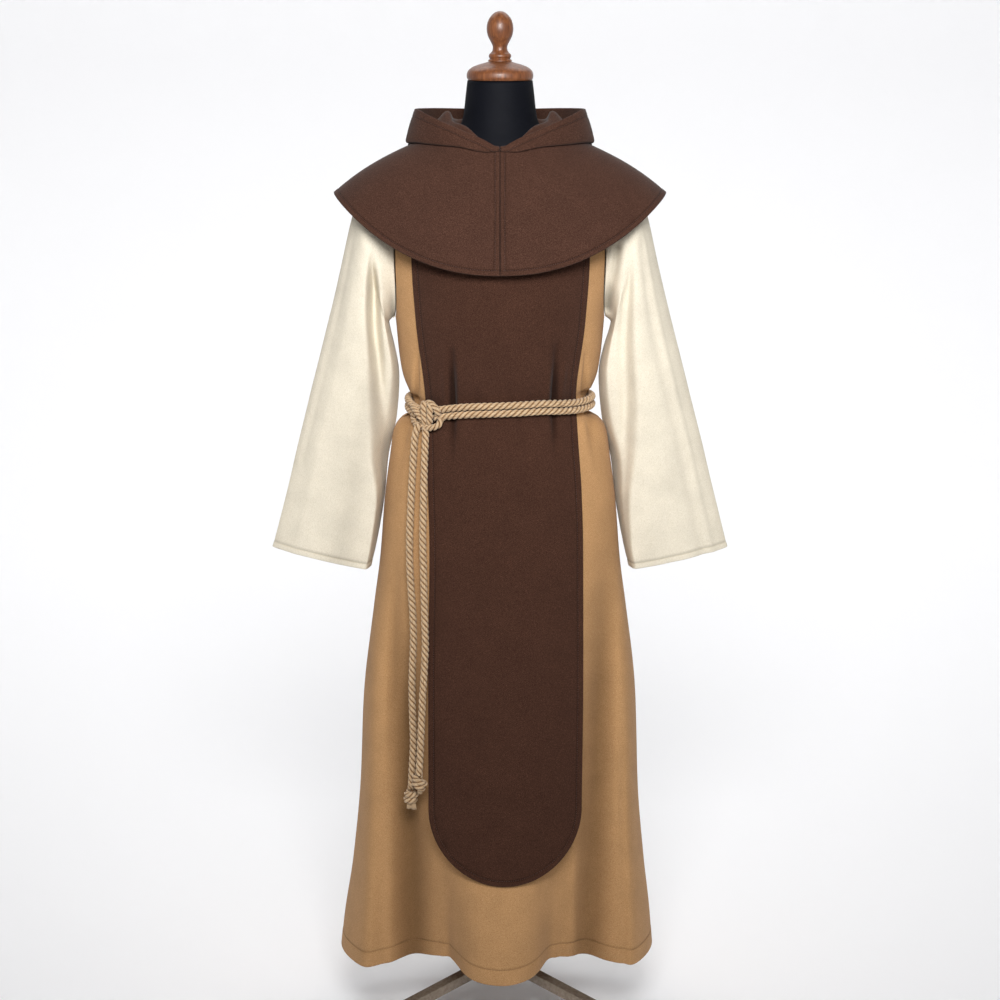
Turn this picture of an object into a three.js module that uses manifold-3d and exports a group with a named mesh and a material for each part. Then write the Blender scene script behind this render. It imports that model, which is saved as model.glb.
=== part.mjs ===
// A monastic habit standing on a dress form: tan robe with wide cream sleeves, dark brown scapular,
// shoulder cape with its hood lying down round the neck, and a rope belt with two hanging ends.
// Millimetres, +Z up, the front faces -Y. Left and right are as the viewer in front sees them.

import * as THREE from "three";
import Module from "manifold-3d";
import { mergeVertices } from "three/addons/utils/BufferGeometryUtils.js";

const wasm = await Module();
wasm.setup();

// Cloth, seams and rope
const CLOTH = 2;
const SEAM_GAP = 0.3;
const SEAT_GAP = 0.35;
const ROPE_DIAMETER = 13;
const ROPE_SIDES = 8;
const TAIL_STEPS_PER_POINT = 1.5;

// Angles round the body are in degrees: 0 is the front, 90 the viewer's right, 180 the back
const COLUMN_STEP = 10;

// Half the span over which the slope of a surface is taken: degrees round, millimetres up, share of the cape
const SLOPE_SPAN = { angle: 2, height: 4, step: 0.02 };

// Neckline: level at the back and sides, dipping in a V at the front
const NECKLINE_HEIGHT = 1600;
const NECKLINE_DIP = 28;
const NECKLINE_DIP_SPREAD = 28;
const UNDERLAYER_DROP = 12;

// Height of the outer face of each layer above the form, at the neck
const ROBE_LIFT = SEAT_GAP + 0.15 + CLOTH;
const SCAPULAR_LIFT = ROBE_LIFT + SEAT_GAP + CLOTH;
const CAPE_LIFT = SCAPULAR_LIFT + SEAT_GAP + 0.2 + CLOTH;

// Where the cloth leaves the form's shoulders and takes its own shape, and how far each layer
// eases off the form within a short way of its neckline
const SHOULDER_FREE_TOP = 1548;
const SHOULDER_FREE_END = 1490;
const EASE_OFF_FORM = 2.5;
const EASE_REACH = 14;

// Dress form: half width, and depth to the front and to the back, at each height
const FORM_ROWS = [
  { z: 880, half: 146, front: 98, back: 103 },
  { z: 888, half: 160, front: 110, back: 115 },
  { z: 905, half: 168, front: 116, back: 121 },
  { z: 970, half: 172, front: 118, back: 124 },
  { z: 1060, half: 156, front: 106, back: 110 },
  { z: 1137, half: 140, front: 97, back: 96 },
  { z: 1195, half: 148, front: 102, back: 100 },
  { z: 1290, half: 158, front: 112, back: 108 },
  { z: 1380, half: 168, front: 118, back: 112 },
  { z: 1440, half: 176, front: 114, back: 108 },
  { z: 1490, half: 180, front: 106, back: 100 },
  { z: 1525, half: 172, front: 96, back: 92 },
  { z: 1552, half: 152, front: 87, back: 84 },
  { z: 1572, half: 125, front: 80, back: 78 },
  { z: 1588, half: 95, front: 74, back: 73 },
  { z: 1600, half: 76, front: 69, back: 69 },
  { z: 1610, half: 68, front: 66, back: 66 },
  { z: 1624, half: 63, front: 62, back: 62 },
  { z: 1664, half: 58, front: 58, back: 58 },
  { z: 1684.7, half: 55.5, front: 55.5, back: 55.5 },
];

// Robe, outer face with the folds left out
const ROBE_ROWS = [
  { z: 125, half: 290, front: 238, back: 230 },
  { z: 187, half: 283, front: 229, back: 224 },
  { z: 287, half: 268, front: 214, back: 212 },
  { z: 429, half: 253, front: 196, back: 196 },
  { z: 609, half: 244, front: 174, back: 176 },
  { z: 772, half: 224, front: 154, back: 157 },
  { z: 853, half: 213, front: 144, back: 147 },
  { z: 959, half: 204, front: 132, back: 134 },
  { z: 1042, half: 193, front: 122, back: 122 },
  { z: 1086, half: 183, front: 115, back: 114 },
  { z: 1112, half: 164, front: 111, back: 108 },
  { z: 1120, half: 151.5, front: 108, back: 104 },
  { z: 1156, half: 151.5, front: 108, back: 104 },
  { z: 1170, half: 165, front: 112, back: 108 },
  { z: 1195, half: 173, front: 117, back: 112 },
  { z: 1290, half: 182, front: 128, back: 119 },
  { z: 1399, half: 193, front: 133, back: 124 },
  { z: 1440, half: 192, front: 125, back: 118 },
  { z: 1490, half: 188, front: 112, back: 108 },
  { z: 1525, half: 180, front: 101, back: 98 },
  { z: 1606, half: 82, front: 75, back: 75 },
];

// Robe rows that are modelled below the shoulder, from the hem upwards
const ROBE_HEIGHTS = [125, 187, 287, 429, 609, 772, 959, 1086, 1112, 1120, 1156, 1170, 1195, 1290, 1399, 1490];
// Share of the way from the shoulder row up to the neckline
const YOKE_STEPS = [0.3, 0.6, 0.82, 1];

// Skirt folds: troughs that grow from the hip to the hem, as a share of the radius at the hem
const SKIRT_FOLDS = [
  { angle: 28, spread: 15, depth: 0.32 },
  { angle: 45, spread: 12, depth: 0.18 },
  { angle: -28, spread: 15, depth: 0.32 },
  { angle: -43, spread: 12, depth: 0.16 },
  { angle: 118, spread: 13, depth: 0.12 },
  { angle: 152, spread: 14, depth: 0.24 },
  { angle: -112, spread: 14, depth: 0.1 },
  { angle: -146, spread: 15, depth: 0.27 },
];
const FOLD_START = 900;
const FOLD_GROWTH = 2.4;
const HEM_HEIGHT = 125;
const HEM_RISE_FRONT = 13;
const HEM_RISE_IN_FOLD = 30;
const HEM_LEVEL_ABOVE = 609;

// Belt height; it dips towards the knot and pulls the cloth down with it
const BELT_HEIGHT = 1138;
const BELT_TILT = 0.03;
const BELT_DIP = 12;
const BELT_DIP_ANGLE = -55;
const BELT_DIP_SPREAD = 24;
const BELT_PULL_REACH = 70;

// Armhole and sleeve. The sleeve rows give the outer and the inner edge of the sleeve on the left,
// the depth of its front crease, where that crease lies between the edges, and the depth at the back
const ARMHOLE = { z: 1407, halfHeight: 124, halfDepth: 48 };
const SLEEVE_ROWS = [
  { outX: 202, outZ: 1533, inX: 188, inZ: 1279, front: 56, back: 56, crease: 0.4, sharp: 0, inY: 0 },
  { outX: 226, outZ: 1515, inX: 193, inZ: 1275, front: 62, back: 60, crease: 0.4, sharp: 0.1, inY: 0 },
  { outX: 246, outZ: 1482, inX: 197, inZ: 1269, front: 64, back: 62, crease: 0.36, sharp: 0.3, inY: 0 },
  { outX: 257, outZ: 1445, inX: 195, inZ: 1255, front: 63, back: 62, crease: 0.36, sharp: 0.7, inY: 2 },
  { outX: 273, outZ: 1376, inX: 188, inZ: 1226, front: 62, back: 62, crease: 0.45, sharp: 1, inY: 4 },
  { outX: 297, outZ: 1279, inX: 182, inZ: 1177, front: 60, back: 60, crease: 0.57, sharp: 1, inY: 8 },
  { outX: 335, outZ: 1135, inX: 187, inZ: 1099, front: 56, back: 58, crease: 0.71, sharp: 1, inY: 20 },
  { outX: 355, outZ: 1060, inX: 199, inZ: 1030, front: 53, back: 57, crease: 0.83, sharp: 1, inY: 32 },
  { outX: 371, outZ: 995, inX: 205, inZ: 962, front: 50, back: 56, crease: 0.93, sharp: 1, inY: 28 },
  { outX: 396, outZ: 900, inX: 222, inZ: 866, front: 45, back: 50, crease: 0.95, sharp: 1, inY: 0 },
  { outX: 404, outZ: 871, inX: 229, inZ: 838, front: 43, back: 48, crease: 0.95, sharp: 1, inY: -8 },
];
const SLEEVE_COLUMNS = 20;
const SLEEVE_STAND_OFF = 1;
const SLEEVE_HEAD_EASE = 1.02;
const SLEEVE_FULLNESS = { back: 0.8, crease: 0.75 };

// Scapular: edges in the front view, with a rounded end below, and its distance outside the robe
const SCAPULAR_EDGE = [
  { z: 1640, left: -152, right: 153 },
  { z: 1399, left: -150, right: 152 },
  { z: 1280, left: -143, right: 145 },
  { z: 1155, left: -128, right: 131 },
  { z: 1090, left: -126, right: 134 },
  { z: 990, left: -124, right: 141 },
  { z: 899, left: -122, right: 144 },
  { z: 659, left: -125, right: 145 },
  { z: 441, left: -125, right: 143 },
];
const SCAPULAR_END_RISE = 127;
const SCAPULAR_OVER_ROBE = SEAT_GAP + CLOTH;
const SCAPULAR_FREE = 2;
const SCAPULAR_FREE_BELOW = 1040;
const SCAPULAR_HEIGHTS = [287, 429, 609, 772, 959, 1086, 1112, 1120, 1156, 1170, 1195, 1290, 1399, 1490];

// Cape: the hem runs low at the front and back and high over the arms
const CAPE_HEM = { half: 283, front: 160, back: 154, frontZ: 1371, backZ: 1362, sideZ: 1495, rise: 2.3 };
const CAPE_STEPS = [0, 0.12, 0.27, 0.45, 0.64, 0.82, 1];
const CAPE_SWELL = 0.06;
const CAPE_SWELL_HEIGHT = 6;
const CAPE_EASE = 2.5;

// Hood, lying down: rim height round the neck, and where its lower fold rests on the cape
const HOOD_RIM = { half: 145, front: 90, back: 106 };
const HOOD_RIM_HEIGHTS = [
  { angle: 0, z: 1574 },
  { angle: 4.7, z: 1587 },
  { angle: 14.8, z: 1596 },
  { angle: 25, z: 1605 },
  { angle: 33.5, z: 1614 },
  { angle: 44.7, z: 1621 },
  { angle: 55.8, z: 1629 },
  { angle: 76.5, z: 1637 },
  { angle: 120, z: 1636 },
  { angle: 180, z: 1631 },
];
const HOOD_BASE = { front: 0.02, side: 0.4, back: 0.86 };
const HOOD_BAG_START = 100;
const HOOD_BAG_FULL = 165;
const HOOD_FIRST_ANGLE = 4;
const HOOD_GROWN_ANGLE = 30;
const HOOD_NECK_GAP = 0.6;
const HOOD_REST = SEAT_GAP + 0.3;
const HOOD_PEAK = { angle: 90, spread: 20, height: 26, least: 7, up: 3, out: 3, outGrown: 6.6 };
// Where the hood lies on the cape: share of its base, height over its rest at the front, more at the sides
const HOOD_FLOOR = [
  { share: 0.55, lift: 1, more: 3 },
  { share: 0.86, lift: 0, more: 0 },
  { share: 1.02, lift: 3, more: 2 },
];
const HOOD_WALL_STEPS = [0.28, 0.62, 1];
const HOOD_BULGE = { front: 2, side: 5, back: 26, lowness: 0.8 };

// Rope belt: two turns side by side, its knot on the viewer's left, and two hanging ends
const KNOT_ANGLE = -50;
const KNOT = { half: 20, depth: 13, height: 20, z: 1124, out: 6.2, sides: 14, rings: 10 };
const BELT_SEAT = SEAT_GAP + 0.2;
const WAIST_ROW = 1156;
const TURN_START = -42.5;
const TURN_END = -58.5;
const TURN_STEPS = 30;
const TAIL_LEFT_ROUTE = [
  [-139.4, -83.3, 1107.8], [-145.3, -86, 1090], [-148, -89, 1065], [-150, -93, 1035], [-152, -98, 1000], [-154, -103, 960],
  [-156, -108, 915], [-156, -113, 870], [-154, -118, 825], [-151, -124, 780], [-150, -130, 735], [-152, -135, 690],
  [-153, -140, 645], [-152, -145, 600], [-151, -150, 555], [-153, -156, 512], [-155, -160, 474],
];
const TAIL_RIGHT_ROUTE = [
  [-127.3, -86.2, 1104.7], [-128, -93, 1085], [-129, -99.5, 1060], [-130, -104, 1030], [-131, -110, 995], [-132, -115, 955],
  [-133, -120, 910], [-132, -126, 865], [-131, -133, 820], [-130, -140, 775], [-129, -146, 730], [-131, -151, 685],
  [-134, -157, 640], [-136, -164, 595], [-138, -170, 550], [-140.5, -175, 504],
];
const TAIL_KNOT = { radius: 12.5, sides: 12, neckAngle: -62, arcSteps: 7 };
const TUFT_LEFT = { radius: 9, length: 13 };
const TUFT_RIGHT = { radius: 5.5, length: 8 };

// Turned neck cap and finial: radius at each height
const CAP_PROFILE = [
  { z: 1685, r: 52 },
  { z: 1687.5, r: 55.5 },
  { z: 1692, r: 56.5 },
  { z: 1697, r: 56 },
  { z: 1702.5, r: 53 },
  { z: 1707.5, r: 46 },
  { z: 1711.5, r: 36 },
  { z: 1714.5, r: 26 },
  { z: 1716, r: 20.5 },
];
const FINIAL_PROFILE = [
  { z: 1716.3, r: 20 },
  { z: 1718.5, r: 19.6 },
  { z: 1720.5, r: 17.3 },
  { z: 1723.8, r: 18.8 },
  { z: 1727, r: 18.8 },
  { z: 1730.5, r: 15.9 },
  { z: 1735.4, r: 12.7 },
  { z: 1738.8, r: 12.2 },
  { z: 1742, r: 12.7 },
  { z: 1748.7, r: 15.9 },
  { z: 1758.6, r: 20.5 },
  { z: 1771.9, r: 22.5 },
  { z: 1781.8, r: 20.9 },
  { z: 1788.4, r: 17.7 },
  { z: 1795, r: 10.6 },
];
const FINIAL_TOP = 1799.9;
const LATHE_SIDES = 24;

// Pole, hub and the three legs
const POLE_RADIUS = 16;
const HUB = { radius: 36, bottom: 62, top: 112, sides: 6 };
const LEG_WIDTH = 22;
const LEG_HEIGHT = 19;
const LEG_SLOPE = 0.267;
const LEG_AXIS_HEIGHT = 86;
const LEG_REACH = 292;
const LEG_TIP_CUT = 4;
const LEG_ANGLES = [-60, 60, 180];
const FOOT = { radius: 15, height: 6, inset: 18, sides: 16 };

const COLOUR = {
  tan: 0xa67e54,
  cream: 0xf3ead7,
  brown: 0x5a3e32,
  brownDark: 0x4a2e24,
  rope: 0xccb194,
  jersey: 0x16191f,
  wood: 0x7f553c,
  metal: 0x65584c,
  rubber: 0x1c1a19,
};

// Numbers

function radians(degrees) {
  return THREE.MathUtils.degToRad(degrees);
}

function smoothstep(low, high, value) {
  return THREE.MathUtils.smoothstep(value, low, high);
}

function bell(value, centre, spread) {
  return Math.exp(-(((value - centre) / spread) ** 2));
}

// A bell round the body, where -170 and 190 are the same place
function bellAround(angle, centre, spread) {
  const turned = ((((angle - centre) % 360) + 540) % 360) - 180;
  return Math.exp(-((turned / spread) ** 2));
}

// Linear interpolation down the columns of a table
function lookUp(table, key, value, column) {
  const last = table.length - 1;
  const rising = table[last][key] > table[0][key];
  const rows = rising ? table : [...table].reverse();
  if (value <= rows[0][key]) return rows[0][column];
  if (value >= rows[last][key]) return rows[last][column];
  const next = rows.findIndex((row) => row[key] >= value);
  const from = rows[next - 1];
  const to = rows[next];
  return THREE.MathUtils.lerp(from[column], to[column], (value - from[key]) / (to[key] - from[key]));
}

// Grids of points and the closed solids made from them

// The normal at each point: across the columns, times down the rows
function normalsOfGrid(grid, wraps) {
  const rows = grid.length;
  const columns = grid[0].length;
  return grid.map((row, i) =>
    row.map((_, j) => {
      const before = wraps ? (j + columns - 1) % columns : Math.max(j - 1, 0);
      const after = wraps ? (j + 1) % columns : Math.min(j + 1, columns - 1);
      const across = new THREE.Vector3().subVectors(row[after], row[before]);
      const along = new THREE.Vector3().subVectors(grid[Math.min(i + 1, rows - 1)][j], grid[Math.max(i - 1, 0)][j]);
      return across.cross(along).normalize();
    })
  );
}

// Keeps the edge columns of a panel in the plane of its seam
function flattenSeam(normals, axis) {
  for (const row of normals) {
    for (const normal of [row[0], row[row.length - 1]]) {
      normal.setComponent(axis, 0).normalize();
    }
  }
  return normals;
}

function offsetGrid(grid, normals, distance) {
  return grid.map((row, i) => row.map((point, j) => point.clone().addScaledVector(normals[i][j], distance)));
}

// A wall of cloth between two grids: both faces, and a rim along every open edge
function wallGeometry(faceA, faceB, wraps) {
  const rows = faceA.length;
  const columns = faceA[0].length;
  const points = [...faceA.flat(), ...faceB.flat()];
  const other = rows * columns;
  const indices = [];
  const quad = (a, b, c, d) => indices.push(a, b, c, a, c, d);
  const spans = wraps ? columns : columns - 1;
  for (let j = 0; j < spans; j += 1) {
    const k = (j + 1) % columns;
    for (let i = 0; i < rows - 1; i += 1) {
      const a = i * columns;
      const b = a + columns;
      quad(a + j, a + k, b + k, b + j);
      quad(other + a + j, other + b + j, other + b + k, other + a + k);
    }
    const top = (rows - 1) * columns;
    quad(other + j, other + k, k, j);
    quad(top + j, top + k, other + top + k, other + top + j);
  }
  if (!wraps) {
    const right = columns - 1;
    for (let i = 0; i < rows - 1; i += 1) {
      const a = i * columns;
      const b = a + columns;
      quad(a, b, other + b, other + a);
      quad(a + right, other + a + right, other + b + right, b + right);
    }
  }
  return closedGeometry(points, indices);
}

// A closed solid through rings, with a flat fan at each end
function ringsGeometry(rings) {
  const sides = rings[0].length;
  const points = rings.flat();
  const indices = [];
  for (let i = 0; i < rings.length - 1; i += 1) {
    for (let j = 0; j < sides; j += 1) {
      const k = (j + 1) % sides;
      const a = i * sides;
      const b = a + sides;
      indices.push(a + j, a + k, b + k, a + j, b + k, b + j);
    }
  }
  const last = (rings.length - 1) * sides;
  for (let j = 1; j < sides - 1; j += 1) {
    indices.push(0, j + 1, j, last, last + j, last + j + 1);
  }
  return closedGeometry(points, indices);
}

function closedGeometry(points, indices) {
  const volume = signedVolume(points, indices);
  const faces = volume < 0 ? indices.map((_, n) => indices[n - (n % 3) + 2 - (n % 3)]) : indices;
  const geometry = new THREE.BufferGeometry();
  geometry.setAttribute("position", new THREE.Float32BufferAttribute(points.flatMap((p) => [p.x, p.y, p.z]), 3));
  geometry.setIndex(faces);
  geometry.computeVertexNormals();
  return geometry;
}

function signedVolume(points, indices) {
  let volume = 0;
  const crossed = new THREE.Vector3();
  for (let n = 0; n < indices.length; n += 3) {
    crossed.crossVectors(points[indices[n + 1]], points[indices[n + 2]]);
    volume += points[indices[n]].dot(crossed);
  }
  return volume;
}

// Cuts and joins

function toManifold(geometry) {
  const bare = geometry.clone();
  bare.deleteAttribute("normal");
  bare.deleteAttribute("uv");
  const merged = mergeVertices(bare, 1e-4);
  const vertProperties = new Float32Array(merged.getAttribute("position").array);
  const triVerts = new Uint32Array(merged.getIndex().array);
  return new wasm.Manifold(new wasm.Mesh({ numProp: 3, vertProperties, triVerts }));
}

function fromManifold(solid) {
  const mesh = solid.getMesh();
  const geometry = new THREE.BufferGeometry();
  geometry.setAttribute("position", new THREE.BufferAttribute(new Float32Array(mesh.vertProperties), 3));
  geometry.setIndex(new THREE.BufferAttribute(new Uint32Array(mesh.triVerts), 1));
  geometry.computeVertexNormals();
  return geometry;
}

// The dress form and what lies on its shoulders

function ellipsePoint(table, angle, z) {
  const turn = radians(angle);
  const side = Math.cos(turn) > 0 ? "front" : "back";
  const x = lookUp(table, "z", z, "half") * Math.sin(turn);
  const y = -lookUp(table, "z", z, side) * Math.cos(turn);
  return new THREE.Vector3(x, y, z);
}

function surfaceNormal(table, angle, z) {
  const turned = SLOPE_SPAN.angle;
  const raised = SLOPE_SPAN.height;
  const across = ellipsePoint(table, angle + turned, z).sub(ellipsePoint(table, angle - turned, z));
  const along = ellipsePoint(table, angle, z + raised).sub(ellipsePoint(table, angle, z - raised));
  return across.cross(along).normalize();
}

function necklineHeight(angle, drop) {
  return NECKLINE_HEIGHT - drop - NECKLINE_DIP * bellAround(angle, 0, NECKLINE_DIP_SPREAD);
}

function beltDip(angle) {
  return BELT_DIP * bellAround(angle, BELT_DIP_ANGLE, BELT_DIP_SPREAD);
}

// The direction across the cloth: level on the body, square to the form on its shoulders
function acrossRobe(angle, z) {
  return surfaceNormal(ROBE_ROWS, angle, z).setZ(0).normalize();
}

function acrossCloth(angle, z) {
  const onForm = smoothstep(SHOULDER_FREE_END, SHOULDER_FREE_TOP, z);
  return acrossRobe(angle, z).lerp(surfaceNormal(FORM_ROWS, angle, z), onForm).normalize();
}

// A point of a cloth layer: on the form near the neck, and outside the robe's own shape below.
// `lift` is the height of the layer's outer face over the form, `out` its distance outside the robe
function layerPoint(angle, z, lift, out) {
  const ease = EASE_OFF_FORM * smoothstep(0, EASE_REACH, necklineHeight(angle, UNDERLAYER_DROP) - z);
  const onForm = ellipsePoint(FORM_ROWS, angle, z);
  onForm.addScaledVector(surfaceNormal(FORM_ROWS, angle, z), lift + ease);
  const free = ellipsePoint(ROBE_ROWS, angle, z).addScaledVector(acrossRobe(angle, z), out);
  const point = onForm.lerp(free, 1 - smoothstep(SHOULDER_FREE_END, SHOULDER_FREE_TOP, z));
  point.z -= beltDip(angle) * bell(z, BELT_HEIGHT, BELT_PULL_REACH);
  return point;
}

// Robe: a tube of front and back, with its armholes cut out

function foldShare(angle) {
  return SKIRT_FOLDS.reduce((sum, fold) => sum + fold.depth * bellAround(angle, fold.angle, fold.spread), 0);
}

function robePoint(angle, z) {
  const point = layerPoint(angle, z, ROBE_LIFT, 0);
  const growth = Math.max(0, (FOLD_START - z) / (FOLD_START - HEM_HEIGHT)) ** FOLD_GROWTH;
  const share = foldShare(angle) * growth;
  point.x *= 1 - share;
  point.y *= 1 - share;
  const hemShare = 1 - smoothstep(HEM_HEIGHT, HEM_LEVEL_ABOVE, z);
  point.z += hemShare * (HEM_RISE_FRONT * Math.cos(radians(angle)) ** 2 + HEM_RISE_IN_FOLD * foldShare(angle));
  return point;
}

function columnAngles(start, end) {
  const count = Math.round((end - start) / COLUMN_STEP);
  return Array.from({ length: count + 1 }, (_, n) => start + ((end - start) * n) / count);
}

function yokeHeights(angle, drop, from) {
  const top = necklineHeight(angle, drop);
  return YOKE_STEPS.map((step) => THREE.MathUtils.lerp(from, top, step));
}

// Half of a tube of cloth round the body, between its two side seams
function bodyPanel(start, end, bodyHeights, drop, pointAt) {
  const angles = columnAngles(start, end);
  const shoulder = bodyHeights[bodyHeights.length - 1];
  const heights = angles.map((angle) => [...bodyHeights, ...yokeHeights(angle, drop, shoulder)]);
  const rows = heights[0].map((_, i) => i);
  const grid = rows.map((i) => angles.map((angle, j) => pointAt(angle, heights[j][i])));
  const normals = rows.map((i) => angles.map((angle, j) => acrossCloth(angle, heights[j][i])));
  const shift = start < 0 ? -SEAM_GAP / 2 : SEAM_GAP / 2;
  for (const row of grid) {
    row[0].y = shift;
    row[row.length - 1].y = shift;
  }
  return wallGeometry(grid, offsetGrid(grid, flattenSeam(normals, 1), -CLOTH), false);
}

// A long prism across the body whose section is the armhole
function armholeCutter() {
  const outline = new THREE.Shape();
  outline.absellipse(0, 0, ARMHOLE.halfDepth, ARMHOLE.halfHeight, 0, Math.PI * 2);
  const length = 600;
  const prism = new THREE.ExtrudeGeometry(outline, { depth: length, bevelEnabled: false, curveSegments: 10 });
  prism.rotateX(Math.PI / 2);
  prism.rotateZ(Math.PI / 2);
  prism.translate(-length / 2, 0, ARMHOLE.z);
  return toManifold(prism);
}

function robeHalf(start, end) {
  const panel = bodyPanel(start, end, ROBE_HEIGHTS, UNDERLAYER_DROP, robePoint);
  return fromManifold(toManifold(panel).subtract(armholeCutter()));
}

// Sleeves: rows of sections from the armhole to the cuff

function sleeveSection(row, turn) {
  const share = (1 - Math.cos(turn)) / 2;
  const round = Math.abs(Math.sin(turn));
  const front = turn <= Math.PI;
  const rounded = front ? -row.front * round : row.back * round;
  let creased = row.back * round ** SLEEVE_FULLNESS.back + row.inY * share;
  if (front) {
    const rise = Math.min(share / row.crease, 1);
    const fall = Math.max((share - row.crease) / (1 - row.crease), 0);
    const swell = Math.sin((Math.PI / 2) * rise ** SLEEVE_FULLNESS.crease);
    creased = -row.front * swell * (1 - smoothstep(0, 1, fall)) + row.inY * fall;
  }
  return new THREE.Vector3(
    THREE.MathUtils.lerp(row.outX, row.inX, share),
    THREE.MathUtils.lerp(rounded, creased, row.sharp),
    THREE.MathUtils.lerp(row.outZ, row.inZ, share)
  );
}

// The robe's outer face at a place in the side view, found by its ellipse
function robeSideX(y, z) {
  const at = (angle) => layerPoint(angle, z, ROBE_LIFT, 0);
  const half = at(90).x;
  const depth = Math.abs(at(y < 0 ? 0 : 180).y);
  return half * Math.sqrt(Math.max(0, 1 - (y / depth) ** 2));
}

function sleeveGrid() {
  const turns = Array.from({ length: SLEEVE_COLUMNS }, (_, n) => (2 * Math.PI * n) / SLEEVE_COLUMNS);
  const armhole = turns.map((turn) => {
    const y = -ARMHOLE.halfDepth * Math.sin(turn);
    const z = ARMHOLE.z + ARMHOLE.halfHeight * Math.cos(turn);
    return new THREE.Vector3(robeSideX(y, z) + SLEEVE_STAND_OFF, y * SLEEVE_HEAD_EASE, z);
  });
  return [armhole, ...SLEEVE_ROWS.map((row) => turns.map((turn) => sleeveSection(row, turn)))];
}

function sleeve(side) {
  const grid = sleeveGrid();
  const normals = normalsOfGrid(grid, true);
  for (const normal of normals[0]) normal.setX(0).normalize();
  const inner = offsetGrid(grid, normals, -CLOTH);
  inner[0].forEach((point) => {
    point.x = robeSideX(point.y, point.z) + SLEEVE_STAND_OFF;
  });
  const mirrored = (rows) => rows.map((row) => row.map((p) => new THREE.Vector3(p.x * side, p.y, p.z)));
  return wallGeometry(mirrored(grid), mirrored(inner), true);
}

// Scapular: a layer outside the robe, trimmed to its outline in the front view

function scapularOut(z) {
  return SCAPULAR_OVER_ROBE + SCAPULAR_FREE * (1 - smoothstep(SCAPULAR_FREE_BELOW - 200, SCAPULAR_FREE_BELOW, z));
}

function scapularPoint(angle, z) {
  return layerPoint(angle, z, SCAPULAR_LIFT, scapularOut(z));
}

function scapularOutline() {
  const low = SCAPULAR_EDGE[SCAPULAR_EDGE.length - 1];
  const middle = (low.left + low.right) / 2;
  const outline = new THREE.Shape();
  outline.moveTo(SCAPULAR_EDGE[0].left, SCAPULAR_EDGE[0].z);
  for (const edge of SCAPULAR_EDGE.slice(1)) outline.lineTo(edge.left, edge.z);
  outline.absellipse(middle, low.z, (low.right - low.left) / 2, SCAPULAR_END_RISE, Math.PI, Math.PI * 2);
  for (const edge of [...SCAPULAR_EDGE].reverse()) outline.lineTo(edge.right, edge.z);
  outline.closePath();
  return outline;
}

function scapularHalf(start, end) {
  const depth = 800;
  const prism = new THREE.ExtrudeGeometry(scapularOutline(), { depth, bevelEnabled: false, curveSegments: 12 });
  prism.rotateX(Math.PI / 2);
  prism.translate(0, depth / 2, 0);
  const layer = bodyPanel(start, end, SCAPULAR_HEIGHTS, UNDERLAYER_DROP, scapularPoint);
  return fromManifold(toManifold(layer).intersect(toManifold(prism)));
}

// Cape: from the neckline to its hem

function capeTop(angle) {
  const z = necklineHeight(angle, 0);
  const normal = surfaceNormal(FORM_ROWS, angle, z);
  return ellipsePoint(FORM_ROWS, angle, z).addScaledVector(normal, CAPE_LIFT);
}

function capeHem(angle) {
  const turn = radians(angle);
  const front = Math.cos(turn) > 0;
  const low = front ? CAPE_HEM.frontZ : CAPE_HEM.backZ;
  const z = low + (CAPE_HEM.sideZ - low) * Math.abs(Math.sin(turn)) ** CAPE_HEM.rise;
  const depth = front ? CAPE_HEM.front : CAPE_HEM.back;
  return new THREE.Vector3(CAPE_HEM.half * Math.sin(turn), -depth * Math.cos(turn), z);
}

function capePoint(angle, step) {
  const point = capeTop(angle).lerp(capeHem(angle), step);
  const swell = Math.sin(Math.PI * step);
  point.x *= 1 + CAPE_SWELL * swell;
  point.y *= 1 + CAPE_SWELL * swell;
  point.z += CAPE_SWELL_HEIGHT * swell;
  const off = surfaceNormal(FORM_ROWS, angle, necklineHeight(angle, 0));
  return point.addScaledVector(off, CAPE_EASE * smoothstep(0, CAPE_STEPS[1], step));
}

function capeNormal(angle, step) {
  const turned = SLOPE_SPAN.angle;
  const across = capePoint(angle + turned, step).sub(capePoint(angle - turned, step));
  const above = capePoint(angle, Math.max(step - SLOPE_SPAN.step, 0));
  const along = above.sub(capePoint(angle, step + SLOPE_SPAN.step));
  return across.cross(along).normalize();
}

function mirrorPoints(grid, side) {
  return grid.map((row) => row.map((p) => new THREE.Vector3(Math.abs(p.x) * side, p.y, p.z)));
}

function capeHalf(side) {
  const angles = columnAngles(0, 180);
  const grid = CAPE_STEPS.map((step) => angles.map((angle) => capePoint(angle, step)));
  const normals = flattenSeam(CAPE_STEPS.map((step) => angles.map((angle) => capeNormal(angle, step))), 0);
  const inner = offsetGrid(grid, normals, -CLOTH);
  for (const row of [...grid, ...inner]) {
    row[0].x = SEAM_GAP / 2;
    row[row.length - 1].x = SEAM_GAP / 2;
  }
  return wallGeometry(mirrorPoints(grid, side), mirrorPoints(inner, side), false);
}

// Hood: from the neck seam up to a small peak, out over the cape, and up again to its rim

function hoodBase(angle) {
  const side = THREE.MathUtils.lerp(HOOD_BASE.front, HOOD_BASE.side, Math.min(angle / 90, 1));
  return side + (HOOD_BASE.back - HOOD_BASE.side) * smoothstep(HOOD_BAG_START, HOOD_BAG_FULL, angle);
}

function hoodRim(angle) {
  const turn = radians(angle);
  const depth = Math.cos(turn) > 0 ? HOOD_RIM.front : HOOD_RIM.back;
  const z = lookUp(HOOD_RIM_HEIGHTS, "angle", angle, "z");
  return new THREE.Vector3(HOOD_RIM.half * Math.sin(turn), -depth * Math.cos(turn), z);
}

function onCape(angle, step, lift) {
  return capePoint(angle, step).addScaledVector(capeNormal(angle, step), lift);
}

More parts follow.
